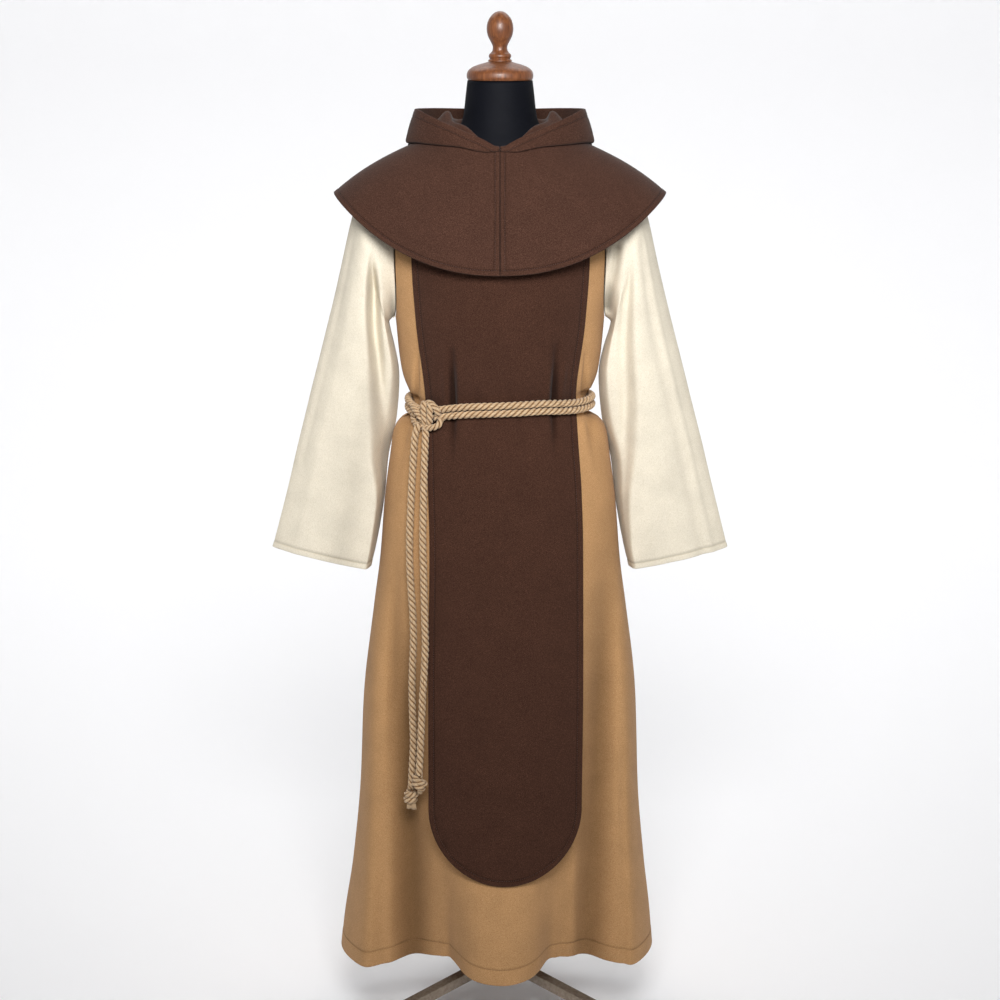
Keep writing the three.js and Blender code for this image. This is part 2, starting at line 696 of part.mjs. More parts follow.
// The face that lies on the cape and shows on the outside
function hoodSection(angle) {
  const turn = radians(angle);
  const outward = new THREE.Vector3(Math.sin(turn), -Math.cos(turn), 0);
  const base = hoodBase(angle);
  const grown = smoothstep(0, HOOD_GROWN_ANGLE, angle);
  const neckZ = necklineHeight(angle, 0) + HOOD_NECK_GAP;
  const seam = ellipsePoint(FORM_ROWS, angle, neckZ);
  seam.addScaledVector(surfaceNormal(FORM_ROWS, angle, neckZ), CAPE_LIFT);
  const rise = (HOOD_PEAK.least + HOOD_PEAK.height * bell(angle, HOOD_PEAK.angle, HOOD_PEAK.spread)) * grown;
  const peak = seam.clone().addScaledVector(outward, HOOD_PEAK.out + HOOD_PEAK.outGrown * grown);
  peak.z += HOOD_PEAK.up + rise;
  const floor = HOOD_FLOOR.map(({ share, lift, more }) => onCape(angle, base * share, HOOD_REST + lift + more * grown));
  const foot = floor[floor.length - 1];
  const rim = hoodRim(angle);
  const sideBulge = THREE.MathUtils.lerp(HOOD_BULGE.front, HOOD_BULGE.side, Math.min(angle / 90, 1));
  const bulge = sideBulge + (HOOD_BULGE.back - HOOD_BULGE.side) * smoothstep(HOOD_BAG_START, HOOD_BAG_FULL, angle);
  const wall = HOOD_WALL_STEPS.map((step) =>
    foot.clone().lerp(rim, step).addScaledVector(outward, bulge * Math.sin(Math.PI * step ** HOOD_BULGE.lowness))
  );
  return [seam, peak, ...floor, ...wall];
}

function hoodHalf(side) {
  const angles = [HOOD_FIRST_ANGLE, ...columnAngles(0, 180).slice(1)];
  const sections = angles.map(hoodSection);
  const grid = sections[0].map((_, i) => sections.map((section) => section[i]));
  const normals = flattenSeam(normalsOfGrid(grid, false), 0);
  // The cloth's other face is on the side of the neck and of the hollow
  const upper = offsetGrid(grid, normals, -CLOTH);
  for (const row of [...grid, ...upper]) row[row.length - 1].x = SEAM_GAP / 2;
  return wallGeometry(mirrorPoints(grid, side), mirrorPoints(upper, side), false);
}

// Rope

function ropeSection() {
  const section = new THREE.Shape();
  for (let n = 0; n < ROPE_SIDES; n += 1) {
    const turn = ((n + 0.5) * 2 * Math.PI) / ROPE_SIDES;
    const x = (ROPE_DIAMETER / 2) * Math.cos(turn);
    const y = (ROPE_DIAMETER / 2) * Math.sin(turn);
    if (n === 0) section.moveTo(x, y);
    else section.lineTo(x, y);
  }
  section.closePath();
  return section;
}

function ropeTube(points, steps) {
  const path = new THREE.CatmullRomCurve3(points, false, "centripetal");
  return new THREE.ExtrudeGeometry(ropeSection(), { steps, extrudePath: path, bevelEnabled: false });
}

// The belt lies outside the scapular all the way round
function beltPoint(angle, rise) {
  const waist = ROBE_ROWS.find((row) => row.z === WAIST_ROW);
  const turn = radians(angle);
  const depth = (Math.cos(turn) > 0 ? waist.front : waist.back) + SCAPULAR_OVER_ROBE;
  const half = waist.half + SCAPULAR_OVER_ROBE;
  const normal = new THREE.Vector3(Math.sin(turn) / half, -Math.cos(turn) / depth, 0).normalize();
  const point = new THREE.Vector3(half * Math.sin(turn), -depth * Math.cos(turn), 0);
  point.addScaledVector(normal, BELT_SEAT + ROPE_DIAMETER / 2);
  point.z = BELT_HEIGHT + BELT_TILT * point.x - beltDip(angle) + rise;
  return point;
}

function beltTurn(rise) {
  const points = [];
  for (let n = 0; n <= TURN_STEPS; n += 1) {
    const angle = THREE.MathUtils.lerp(TURN_START, TURN_END + 360, n / TURN_STEPS);
    points.push(beltPoint(angle, rise));
  }
  return ropeTube(points, TURN_STEPS);
}

function beltKnot() {
  const ball = new THREE.SphereGeometry(1, KNOT.sides, KNOT.rings);
  ball.scale(KNOT.half, KNOT.depth, KNOT.height);
  ball.rotateZ(radians(KNOT_ANGLE));
  const turn = radians(KNOT_ANGLE);
  const centre = beltPoint(KNOT_ANGLE, 0);
  ball.translate(centre.x + KNOT.out * Math.sin(turn), centre.y - KNOT.out * Math.cos(turn), KNOT.z);
  return ball;
}

function tail(route) {
  const points = route.map(([x, y, z]) => new THREE.Vector3(x, y, z));
  return ropeTube(points, Math.round((points.length - 1) * TAIL_STEPS_PER_POINT));
}

// The stopper knot under a tail, with the frayed end below it
function tailKnot(route, tuft) {
  const [x, y, z] = route[route.length - 1];
  const { radius, sides, neckAngle, arcSteps } = TAIL_KNOT;
  const profile = [new THREE.Vector2(0, -radius - tuft.length), new THREE.Vector2(tuft.radius, -radius - tuft.length)];
  for (let n = 0; n < arcSteps; n += 1) {
    const turn = radians(THREE.MathUtils.lerp(neckAngle, 90, n / arcSteps));
    profile.push(new THREE.Vector2(radius * Math.cos(turn), radius * Math.sin(turn)));
  }
  profile.push(new THREE.Vector2(0, radius));
  const lathe = new THREE.LatheGeometry(profile, sides);
  lathe.rotateX(Math.PI / 2);
  lathe.translate(x, y, z - SEAM_GAP - radius);
  return lathe;
}

// Dress form, cap, finial and stand

function formGeometry() {
  const angles = columnAngles(0, 360 - COLUMN_STEP);
  return ringsGeometry(FORM_ROWS.map((row) => angles.map((angle) => ellipsePoint(FORM_ROWS, angle, row.z))));
}

function turned(profile, topZ) {
  const points = [new THREE.Vector2(0, profile[0].z)];
  for (const { z, r } of profile) points.push(new THREE.Vector2(r, z));
  points.push(new THREE.Vector2(0, topZ));
  const geometry = new THREE.LatheGeometry(points, LATHE_SIDES);
  geometry.rotateX(Math.PI / 2);
  return geometry;
}

function upright(geometry, bottom, height) {
  geometry.rotateX(Math.PI / 2);
  geometry.translate(0, 0, bottom + height / 2);
  return geometry;
}

function poleGeometry() {
  const bottom = HUB.top + SEAM_GAP;
  const height = FORM_ROWS[0].z - SEAM_GAP - bottom;
  return upright(new THREE.CylinderGeometry(POLE_RADIUS, POLE_RADIUS, height, FOOT.sides), bottom, height);
}

function hubGeometry() {
  const height = HUB.top - HUB.bottom;
  const radius = HUB.radius / Math.cos(Math.PI / HUB.sides);
  const prism = new THREE.CylinderGeometry(radius, radius, height, HUB.sides);
  prism.rotateY(Math.PI / HUB.sides);
  return upright(prism, HUB.bottom, height);
}

// A leg in its side view, from the hub out to its foot, then turned to its direction
function legGeometry(angle) {
  const start = HUB.radius + SEAM_GAP;
  const seat = FOOT.height + SEAM_GAP;
  const half = LEG_HEIGHT / 2;
  const axis = (reach) => LEG_AXIS_HEIGHT - LEG_SLOPE * reach;
  const flatStart = (LEG_AXIS_HEIGHT - half - seat) / LEG_SLOPE;
  const outline = new THREE.Shape();
  outline.moveTo(start, axis(start) - half);
  outline.lineTo(flatStart, seat);
  outline.lineTo(LEG_REACH - LEG_TIP_CUT, seat);
  outline.lineTo(LEG_REACH, seat + LEG_TIP_CUT);
  outline.lineTo(LEG_REACH, axis(LEG_REACH) + half - LEG_TIP_CUT);
  outline.lineTo(LEG_REACH - LEG_TIP_CUT, axis(LEG_REACH - LEG_TIP_CUT) + half);
  outline.lineTo(start, axis(start) + half);
  outline.closePath();
  const bar = new THREE.ExtrudeGeometry(outline, { depth: LEG_WIDTH, bevelEnabled: false });
  bar.translate(0, 0, -LEG_WIDTH / 2);
  bar.rotateX(Math.PI / 2);
  bar.rotateZ(radians(angle - 90));
  return bar;
}

function footGeometry(angle) {
  const disc = new THREE.CylinderGeometry(FOOT.radius, FOOT.radius, FOOT.height, FOOT.sides);
  upright(disc, 0, FOOT.height);
  const reach = LEG_REACH - FOOT.inset;
  disc.translate(reach * Math.sin(radians(angle)), -reach * Math.cos(radians(angle)), 0);
  return disc;
}

// Assembly

function finish(color, roughness, metalness = 0) {
  return new THREE.MeshStandardMaterial({ color, roughness, metalness });
}

const habit = new THREE.Group();

function add(name, geometry, material) {
  const mesh = new THREE.Mesh(geometry, material);
  mesh.name = name;
  habit.add(mesh);
}

const tan = finish(COLOUR.tan, 0.95);
const cream = finish(COLOUR.cream, 0.95);
const brown = finish(COLOUR.brown, 0.95);
const brownDark = finish(COLOUR.brownDark, 0.95);
const rope = finish(COLOUR.rope, 0.9);
const wood = finish(COLOUR.wood, 0.35);
const metal = finish(COLOUR.metal, 0.4, 0.6);

add("robe_front", robeHalf(-90, 90), tan);
add("robe_back", robeHalf(90, 270), tan.clone());
add("sleeve_left", sleeve(-1), cream);
add("sleeve_right", sleeve(1), cream.clone());
add("scapular_front", scapularHalf(-90, 90), brownDark);
add("scapular_back", scapularHalf(90, 270), brownDark.clone());
add("cape_left", capeHalf(-1), brown);
add("cape_right", capeHalf(1), brown.clone());
add("hood_left", hoodHalf(-1), brown.clone());
add("hood_right", hoodHalf(1), brown.clone());
add("belt_turn_upper", beltTurn(ROPE_DIAMETER / 2 + SEAM_GAP / 2), rope);
add("belt_turn_lower", beltTurn(-ROPE_DIAMETER / 2 - SEAM_GAP / 2), rope.clone());
add("belt_knot", beltKnot(), rope.clone());
add("tail_left", tail(TAIL_LEFT_ROUTE), rope.clone());
add("tail_right", tail(TAIL_RIGHT_ROUTE), rope.clone());
add("tail_knot_left", tailKnot(TAIL_LEFT_ROUTE, TUFT_LEFT), rope.clone());
add("tail_knot_right", tailKnot(TAIL_RIGHT_ROUTE, TUFT_RIGHT), rope.clone());
add("form_torso", formGeometry(), finish(COLOUR.jersey, 0.85));
add("neck_cap", turned(CAP_PROFILE, CAP_PROFILE[CAP_PROFILE.length - 1].z), wood);
add("finial", turned(FINIAL_PROFILE, FINIAL_TOP), wood.clone());
add("pole", poleGeometry(), metal);
add("hub", hubGeometry(), metal.clone());
LEG_ANGLES.forEach((angle, n) => {
  add(`leg_${n + 1}`, legGeometry(angle), metal.clone());
  add(`foot_${n + 1}`, footGeometry(angle), finish(COLOUR.rubber, 0.9));
});

// The origin is on the floor under the middle of the whole object, leaving out the hanging ends
const extent = new THREE.Box3();
for (const mesh of habit.children) {
  if (!mesh.name.startsWith("tail_")) extent.expandByObject(mesh);
}
habit.position.y = -(extent.min.y + extent.max.y) / 2;
habit.updateMatrixWorld(true);

export default habit;
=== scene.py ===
# %% [markdown]
# # A monastic habit on its dress form
# The habit is wool cloth, cut in panels and sewn: a tan robe with cream bell sleeves, a dark brown
# scapular, a shoulder cape with its hood lying down, and a rope belt. It hangs on a dress form with a
# three-legged stand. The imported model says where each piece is. This file makes each one again with the
# cloth's folds, its sewing and its weave, in the same place.

# %% The frame
import math

import bmesh
import bpy
import numpy as np
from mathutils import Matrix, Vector


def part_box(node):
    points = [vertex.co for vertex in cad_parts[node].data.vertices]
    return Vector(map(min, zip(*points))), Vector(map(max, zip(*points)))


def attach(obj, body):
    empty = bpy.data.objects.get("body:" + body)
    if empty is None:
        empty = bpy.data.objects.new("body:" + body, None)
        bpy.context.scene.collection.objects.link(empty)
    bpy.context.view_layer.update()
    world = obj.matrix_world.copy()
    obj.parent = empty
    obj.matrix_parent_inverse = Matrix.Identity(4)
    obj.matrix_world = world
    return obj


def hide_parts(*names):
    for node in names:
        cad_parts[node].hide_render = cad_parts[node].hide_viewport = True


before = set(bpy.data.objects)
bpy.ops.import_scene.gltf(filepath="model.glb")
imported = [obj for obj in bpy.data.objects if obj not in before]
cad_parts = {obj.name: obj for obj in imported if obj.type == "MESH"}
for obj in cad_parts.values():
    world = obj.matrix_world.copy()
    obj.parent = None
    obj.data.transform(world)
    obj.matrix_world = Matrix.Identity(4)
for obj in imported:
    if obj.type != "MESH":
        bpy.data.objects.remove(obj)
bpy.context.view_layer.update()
print("nodes in the frame:", len(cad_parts))

# %% [markdown]
# The pole of the stand is the middle of everything, so shapes are worked out round it in millimetres, with
# angle 0 at the front, 90 on the viewer's right and 180 at the back. One helper takes them to the scene.

# %% The middle of the form
pole_low, pole_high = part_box("pole")
FORM_Y = (pole_low[1] + pole_high[1]) / 2


def to_scene(points_mm):
    return np.asarray(points_mm, float) / 1000 + np.array([0.0, FORM_Y, 0.0])


print("the form's middle is at y =", round(FORM_Y, 4), "m")

# %% [markdown]
# ## Camera
# The neck cap is seen almost level and the hem from above, so the camera stands at eye height, a few steps
# away, and looks slightly down with a long lens, as one does to photograph clothes without bending them.

# %% Camera
CAMERA_PLACE = (0.0, FORM_Y - 3.8, 1.80)
CAMERA_AIM = (0.0, FORM_Y, 0.955)


def pointing(place, target):
    return (Vector(target) - Vector(place)).to_track_quat("-Z", "Y").to_euler()


camera = bpy.data.objects.new("camera", bpy.data.cameras.new("camera"))
camera.data.lens = 79.18
camera.data.sensor_width = 36
camera.location = CAMERA_PLACE
camera.rotation_euler = pointing(CAMERA_PLACE, CAMERA_AIM)
bpy.context.collection.objects.link(camera)
bpy.context.scene.camera = camera
print("camera", [round(v, 3) for v in camera.location], "lens", camera.data.lens)

# %% [markdown]
# ## Making a piece
# Every piece here is a mesh worked out from numbers. The first helper makes the object, turns its faces
# outwards, shades it smooth, puts it on the one body and hides the imported node it stands for. The others
# join rings of points with faces, and keep a number at every point of a mesh for its material to read.

# %% Making a piece


def make_piece(name, points, faces, nodes=()):
    mesh = bpy.data.meshes.new(name)
    mesh.from_pydata(np.asarray(points, float).tolist(), [], faces)
    shape = bmesh.new()
    shape.from_mesh(mesh)
    bmesh.ops.recalc_face_normals(shape, faces=shape.faces)
    shape.to_mesh(mesh)
    shape.free()
    mesh.polygons.foreach_set("use_smooth", [True] * len(mesh.polygons))
    piece = bpy.data.objects.new(name, mesh)
    bpy.context.collection.objects.link(piece)
    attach(piece, "root")
    if nodes:
        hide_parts(*nodes)
    print(name, "faces", len(mesh.polygons))
    return piece


def ring_faces(count, around, base=0):
    pairs = [(j, (j + 1) % around) for j in range(around)]
    starts = [base + i * around for i in range(count - 1)]
    return [(a + j, a + k, a + around + k, a + around + j) for a in starts for j, k in pairs]


def closed_rings(name, rings, nodes):
    count, around = rings.shape[:2]
    caps = [tuple(range(around))[::-1], tuple(range((count - 1) * around, count * around))]
    return make_piece(name, rings.reshape(-1, 3), ring_faces(count, around) + caps, nodes)


def keep_values(piece, name, values):
    layer = piece.data.attributes.new(name, "FLOAT", "POINT")
    layer.data.foreach_set("value", np.asarray(values, float).tolist())


# %% [markdown]
# ## Rope
# The belt is a rope laid from three strands. Its section is three rounded lobes, and the section turns once
# in every lay as it goes along the rope. One tube with that turning section gives the real grooves, with no
# strand inside another. Each corner of the mesh also keeps how far round and along the rope it is, for the
# yarns.

# %% Rope
ROPE_DIAMETER = 0.013
ROPE_LAY = 0.031
LOBE_OUT = 0.45
LOBE_RADIUS = 0.55
LOBE_SAMPLES = 9


def distances(line):
    return np.concatenate([[0], np.cumsum(np.linalg.norm(np.diff(line, axis=0), axis=1))])


def sampled(line, along, at):
    return np.stack([np.interp(at, along, line[:, k]) for k in range(3)], axis=-1)


def even_line(line, spacing):
    along = distances(line)
    count = max(3, round(along[-1] / spacing) + 1)
    return sampled(line, along, np.linspace(0, along[-1], count))


def smooth_line(points, spacing):
    points = np.asarray(points, float)
    whole = np.vstack([2 * points[0] - points[1], points, 2 * points[-1] - points[-2]])
    t = np.linspace(0, 1, 24, endpoint=False)[:, None]
    runs = []
    for a, b, c, d in zip(whole, whole[1:], whole[2:], whole[3:]):
        bend = (2 * a - 5 * b + 4 * c - d) * t**2 + (-a + 3 * b - 3 * c + d) * t**3
        runs.append(b + 0.5 * ((c - a) * t + bend))
    return even_line(np.vstack([*runs, points[-1:]]), spacing)


def carried_frames(line):
    tangents = np.gradient(line, axis=0)
    tangents /= np.linalg.norm(tangents, axis=1, keepdims=True)
    side = np.cross(tangents[0], [0.3, 0.9, 0.31])
    sides = []
    for tangent in tangents:
        side = side - tangent * np.dot(side, tangent)
        side = side / np.linalg.norm(side)
        sides.append(side)
    return np.array(sides), np.cross(tangents, sides)


def lobe_section(radius):
    turns = np.arange(3 * LOBE_SAMPLES) * math.tau / (3 * LOBE_SAMPLES)
    off = (turns + math.pi / 3) % (math.tau / 3) - math.pi / 3
    reach = LOBE_OUT * np.cos(off) + np.sqrt(LOBE_RADIUS**2 - (LOBE_OUT * np.sin(off)) ** 2)
    return turns, radius * reach


def rope_piece(name, line, radius, lay, nodes=(), start_turn=0.0):
    sides, ups = carried_frames(line)
    turns, reach = lobe_section(radius)
    along = distances(line)
    angle = turns[None, :] - (start_turn + along * math.tau / lay)[:, None]
    across = sides[:, None] * np.cos(angle)[..., None] + ups[:, None] * np.sin(angle)[..., None]
    rings = line[:, None] + across * reach[None, :, None]
    ends = [line[0] + (line[0] - line[1]) * 0.5, line[-1] + (line[-1] - line[-2]) * 0.5]
    count, around = angle.shape
    last_ring = (count - 1) * around
    faces = ring_faces(count, around)
    for j in range(around):
        k = (j + 1) % around
        faces.append((count * around, k, j))
        faces.append((count * around + 1, last_ring + j, last_ring + k))
    piece = make_piece(name, np.vstack([rings.reshape(-1, 3), ends]), faces, nodes)
    keep_lay(piece, turns / math.tau, along, lay)
    height = np.tile(reach / radius, count)
    height = (np.append(height, [0.5, 0.5]) - height.min()) / (height.max() - height.min())
    keep_values(piece, "strand_height", height)
    return piece


def keep_lay(piece, share, along, lay):
    mesh = piece.data
    layer = mesh.uv_layers.new(name="lay")
    count, around = len(along), len(share)
    for polygon in mesh.polygons:
        corners = [mesh.loops[n].vertex_index for n in polygon.loop_indices]
        columns = [v % around for v in corners if v < count * around]
        crosses = 0 in columns and around - 1 in columns
        for n, v in zip(polygon.loop_indices, corners):
            row = min(v // around, count - 1)
            column = v % around
            round_rope = share[column] + (1.0 if crosses and column == 0 else 0.0)
            layer.data[n].uv = (round_rope - along[row] / lay, along[row] / 0.02)


# %% [markdown]
# ## The two hanging ends
# The ends of the belt hang free from its knot, side by side down the skirt, each to a stopper knot. They are
# limp, so they follow the cloth with small bends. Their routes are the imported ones, in metres round the pole.

# %% The routes of the hanging ends
TAIL_LEFT_ROUTE = [
    (-0.1394, -0.0833, 1.1078), (-0.1453, -0.086, 1.090), (-0.148, -0.089, 1.065), (-0.150, -0.093, 1.035),
    (-0.152, -0.098, 1.000), (-0.154, -0.103, 0.960), (-0.156, -0.108, 0.915), (-0.156, -0.113, 0.870),
    (-0.154, -0.118, 0.825), (-0.151, -0.124, 0.780), (-0.150, -0.130, 0.735), (-0.152, -0.135, 0.690),
    (-0.153, -0.140, 0.645), (-0.152, -0.145, 0.600), (-0.151, -0.150, 0.555), (-0.153, -0.156, 0.512),
    (-0.155, -0.160, 0.474),
]
TAIL_RIGHT_ROUTE = [
    (-0.1273, -0.0862, 1.1047), (-0.128, -0.093, 1.085), (-0.129, -0.0995, 1.060), (-0.130, -0.104, 1.030),
    (-0.131, -0.110, 0.995), (-0.132, -0.115, 0.955), (-0.133, -0.120, 0.910), (-0.132, -0.126, 0.865),
    (-0.131, -0.133, 0.820), (-0.130, -0.140, 0.775), (-0.129, -0.146, 0.730), (-0.131, -0.151, 0.685),
    (-0.134, -0.157, 0.640), (-0.136, -0.164, 0.595), (-0.138, -0.170, 0.550), (-0.1405, -0.175, 0.504),
]
left_line, right_line = [
    smooth_line(np.array(route) + [0.0, FORM_Y, 0.0], 0.0025) for route in (TAIL_LEFT_ROUTE, TAIL_RIGHT_ROUTE)
]
tail_left_rope = rope_piece("tail_left_rope", left_line, ROPE_DIAMETER / 2, ROPE_LAY, ["tail_left"])
tail_right_rope = rope_piece("tail_right_rope", right_line, ROPE_DIAMETER / 2, ROPE_LAY, ["tail_right"], 1.3)

# %% [markdown]
# ## Stopper knots and frayed tips
# A stopper knot is the rope wound twice round itself and pulled tight. It is a short coil with both ends
# tucked into the middle, a little tilted, because a hand-tied knot never sits square. Below it the strands
# come apart into fibres, which are many thin tapering threads with a fixed random seed.

# %% Stopper knots
KNOT_ROPE_RADIUS = 0.0060
KNOT_COIL_RADIUS = 0.0086
KNOT_TURNS = 2.0
KNOT_RISE = 0.0095
KNOT_LAY = 0.024


def stopper_knot(side, top, tilt):
    share = np.linspace(0, 1, 90)
    turn = share * KNOT_TURNS * math.tau + 0.8
    tuck = np.sin(np.pi * share) ** 0.35
    x = KNOT_COIL_RADIUS * tuck * np.cos(turn)
    y = KNOT_COIL_RADIUS * tuck * np.sin(turn)
    z = -KNOT_RISE * (share - 0.5) * KNOT_TURNS + x * math.tan(tilt)
    middle = np.asarray(top) - [0.0, 0.0, 0.0128]
    line = even_line(np.stack([x, y, z], axis=1) + middle, 0.0015)
    return rope_piece(f"tail_knot_{side}_rope", line, KNOT_ROPE_RADIUS, KNOT_LAY, [f"tail_knot_{side}"])


knot_left_rope = stopper_knot("left", left_line[-1], 0.35)
knot_right_rope = stopper_knot("right", right_line[-1], -0.4)

# %% Frayed tips
rng = np.random.default_rng(7)
THREAD_RADIUS = 0.00062
THREAD_SIDES = 5


def thread_tubes(lines):
    points, faces = [], []
    turns = np.arange(THREAD_SIDES) * math.tau / THREAD_SIDES
    for line in lines:
        base = len(points)
        side, up = carried_frames(line)
        size = THREAD_RADIUS * (1 - 0.75 * np.linspace(0, 1, len(line)) ** 2)
        for i, place in enumerate(line):
            points += [place + size[i] * (side[i] * math.cos(t) + up[i] * math.sin(t)) for t in turns]
        faces += ring_faces(len(line), THREAD_SIDES, base)
        top = base + (len(line) - 1) * THREAD_SIDES
        faces += [tuple(range(base, base + THREAD_SIDES))[::-1], tuple(range(top, top + THREAD_SIDES))]
    return points, faces


def frayed_tip(name, top, tufts):
    lines = []
    for x, spread, length, count in tufts:
        for _ in range(count):
            turn = rng.uniform(0, math.tau)
            out = math.sqrt(rng.uniform(0, 1))
            reach = length * rng.uniform(0.8, 1.05)
            way = np.array([math.cos(turn), math.sin(turn), 0.0]) * out
            start = np.array([x * 0.4, 0, 0.006]) + way * 0.0022
            end = np.array([x, 0, -reach]) + way * spread
            t = np.linspace(0, 1, 6)[:, None]
            curl = rng.normal(0, 0.0006, 3)
            lines.append(np.asarray(top) + start * (1 - t) + end * t + curl * np.sin(np.pi * t))
    points, faces = thread_tubes(lines)
    piece = make_piece(name, points, faces, ())
    keep_values(piece, "strand_height", [1.0] * len(points))
    return piece


tip_left = frayed_tip(
    "frayed_tip_left", left_line[-1] - [0, 0, 0.0275],
    [(-0.0045, 0.0042, 0.009, 110), (0.005, 0.0048, 0.0105, 130)],
)
tip_right = frayed_tip("frayed_tip_right", right_line[-1] - [-0.001, 0, 0.0265], [(0.0, 0.0045, 0.007, 110)])

# %% [markdown]
# ## The shape under the cloth
# A body is nearly an ellipse at every height, a little deeper in front than behind. Short tables give its
# half width and its two depths at some heights, and a smooth curve joins them without overshooting.

# %% Tables of the form and the robe
HEIGHT, HALF, FRONT, BACK = range(4)
FORM_ROWS = np.array([
    (880, 146, 98, 103), (888, 160, 110, 115), (905, 168, 116, 121), (970, 172, 118, 124),
    (1060, 156, 106, 110),
    (1137, 140, 97, 96), (1195, 148, 102, 100), (1290, 158, 112, 108), (1380, 168, 118, 112),
    (1440, 176, 114, 108), (1490, 180, 106, 100), (1525, 172, 96, 92), (1552, 152, 87, 84),
    (1572, 125, 80, 78),
    (1588, 95, 74, 73), (1600, 76, 69, 69), (1610, 68, 66, 66), (1624, 63, 62, 62), (1664, 58, 58, 58),
    (1684.7, 55.5, 55.5, 55.5),
], float)
ROBE_ROWS = np.array([
    (125, 290, 238, 230), (187, 283, 229, 224), (287, 268, 214, 212), (429, 253, 196, 196),
    (609, 244, 174, 176),
    (772, 224, 154, 157), (853, 213, 144, 147), (959, 204, 132, 134), (1042, 193, 122, 122),
    (1086, 186, 115, 114),
    (1106, 172, 111, 108), (1117, 151.5, 108, 104), (1151, 151.5, 108, 104), (1160, 160, 110, 106),
    (1195, 172, 117, 112), (1290, 182, 128, 119), (1399, 193, 133, 124), (1440, 192, 125, 118),
    (1490, 188, 112, 108), (1525, 180, 101, 98), (1606, 82, 75, 75),
], float)


def curve_through(rows, column, at):
    places, values = rows[:, 0], rows[:, column]
    steps = np.diff(places)
    slopes = np.diff(values) / steps
    same = slopes[:-1] * slopes[1:] > 0
    tangents = np.zeros_like(values)
    late = 2 * steps[1:] + steps[:-1]
    early = steps[1:] + 2 * steps[:-1]
    shared = late[same] / slopes[:-1][same] + early[same] / slopes[1:][same]
    tangents[1:-1][same] = (late + early)[same] / shared
    tangents[0] = slopes[0]
    tangents[-1] = slopes[-1]
    at = np.clip(at, places[0], places[-1])
    i = np.clip(np.searchsorted(places, at, side="right") - 1, 0, len(steps) - 1)
    t = (at - places[i]) / steps[i]
    start = (2 * t**3 - 3 * t**2 + 1) * values[i] + (t**3 - 2 * t**2 + t) * steps[i] * tangents[i]
    end = (3 * t**2 - 2 * t**3) * values[i + 1] + (t**3 - t**2) * steps[i] * tangents[i + 1]
    return start + end


def smoothstep(low, high, value):
    t = np.clip((value - low) / (high - low), 0, 1)
    return t * t * (3 - 2 * t)


def bell(value, centre, spread):
    return np.exp(-(((value - centre) / spread) ** 2))


def bell_around(angle, centre, spread):
    return bell((angle - centre + 180) % 360 - 180, 0, spread)


def unit(vectors):
    return vectors / np.linalg.norm(vectors, axis=-1, keepdims=True)


def paired(angle, z):
    return np.broadcast_arrays(np.asarray(angle, float), np.asarray(z, float))


def front_or_back(angle, front, back):
    return np.where(np.cos(np.radians(angle)) > 0, front, back)


def outline_point(rows, angle, z):
    angle, z = paired(angle, z)
    turn = np.radians(angle)
    half = curve_through(rows, HALF, z)
    depth = front_or_back(angle, curve_through(rows, FRONT, z), curve_through(rows, BACK, z))
    return np.stack([half * np.sin(turn), -depth * np.cos(turn), z], axis=-1)


def outline_normal(rows, angle, z):
    angle, z = paired(angle, z)
    across = outline_point(rows, angle + 2, z) - outline_point(rows, angle - 2, z)
    along = outline_point(rows, angle, z + 4) - outline_point(rows, angle, z - 4)
    return unit(np.cross(across, along))


print("robe hem", 2 * ROBE_ROWS[0, HALF], "mm wide, form waist", 2 * FORM_ROWS[5, HALF], "mm")

# %% [markdown]
# ## Layers of cloth
# The robe, the scapular and the cape lie on one another. Each layer's outer face is a fixed height above
# the one below, so no layer cuts another. Near the neck they lie on the form, and below the shoulders they
# hang free in the robe's own shape. The main creases are shared: the belt pinches all the layers at the
# same places.

# %% Layers
CLOTH = 2.0
SEAM_GAP = 0.3
SEAT_GAP = 0.35
ROBE_LIFT = SEAT_GAP + 0.15 + CLOTH
SCAPULAR_LIFT = ROBE_LIFT + SEAT_GAP + CLOTH
CAPE_LIFT = SCAPULAR_LIFT + SEAT_GAP + 0.2 + CLOTH
NECKLINE_HEIGHT = 1600
NECKLINE_DIP = 28
UNDERLAYER_DROP = 12
BELT_HEIGHT = 1138

# Creases of all layers, in the front view: start x, z, end x, z, half width, depth
SHARED_CREASES = [
    (-82, 1240, -80, 1138, 5.5, -10.5), (-68, 1205, -69, 1140, 5, 3.0), (-93, 1195, -92, 1140, 5, 2.0),
    (95, 1244, 92, 1138, 5.5, -10.5), (107, 1205, 104, 1140, 5, 3.0), (82, 1195, 80, 1140, 5, 2.0),
    (-80, 1138, -82, 1052, 5.5, -7.0), (92, 1138, 94, 1060, 5.5, -7.0), (-40, 1176, -38, 1138, 5, -1.6),
    (18, 1168, 19, 1138, 6, -1.4), (55, 1180, 53, 1138, 5, -1.8), (-30, 1138, -34, 1090, 6, -1.6),
    (30, 1138, 34, 1084, 7, -1.8), (62, 1138, 66, 1096, 5, -1.4),
]
BACK_CREASES = [
    (-66, 1238, -60, 1138, 5, -3.8), (-22, 1200, -18, 1138, 5, -1.8), (34, 1224, 30, 1138, 5, -2.8),
    (84, 1212, 78, 1138, 5, -3.6), (-62, 1138, -70, 1060, 6, -3.2), (-10, 1138, -12, 1086, 6, -1.6),
    (32, 1138, 40, 1064, 6, -2.6), (80, 1138, 88, 1080, 5, -2.6),
]


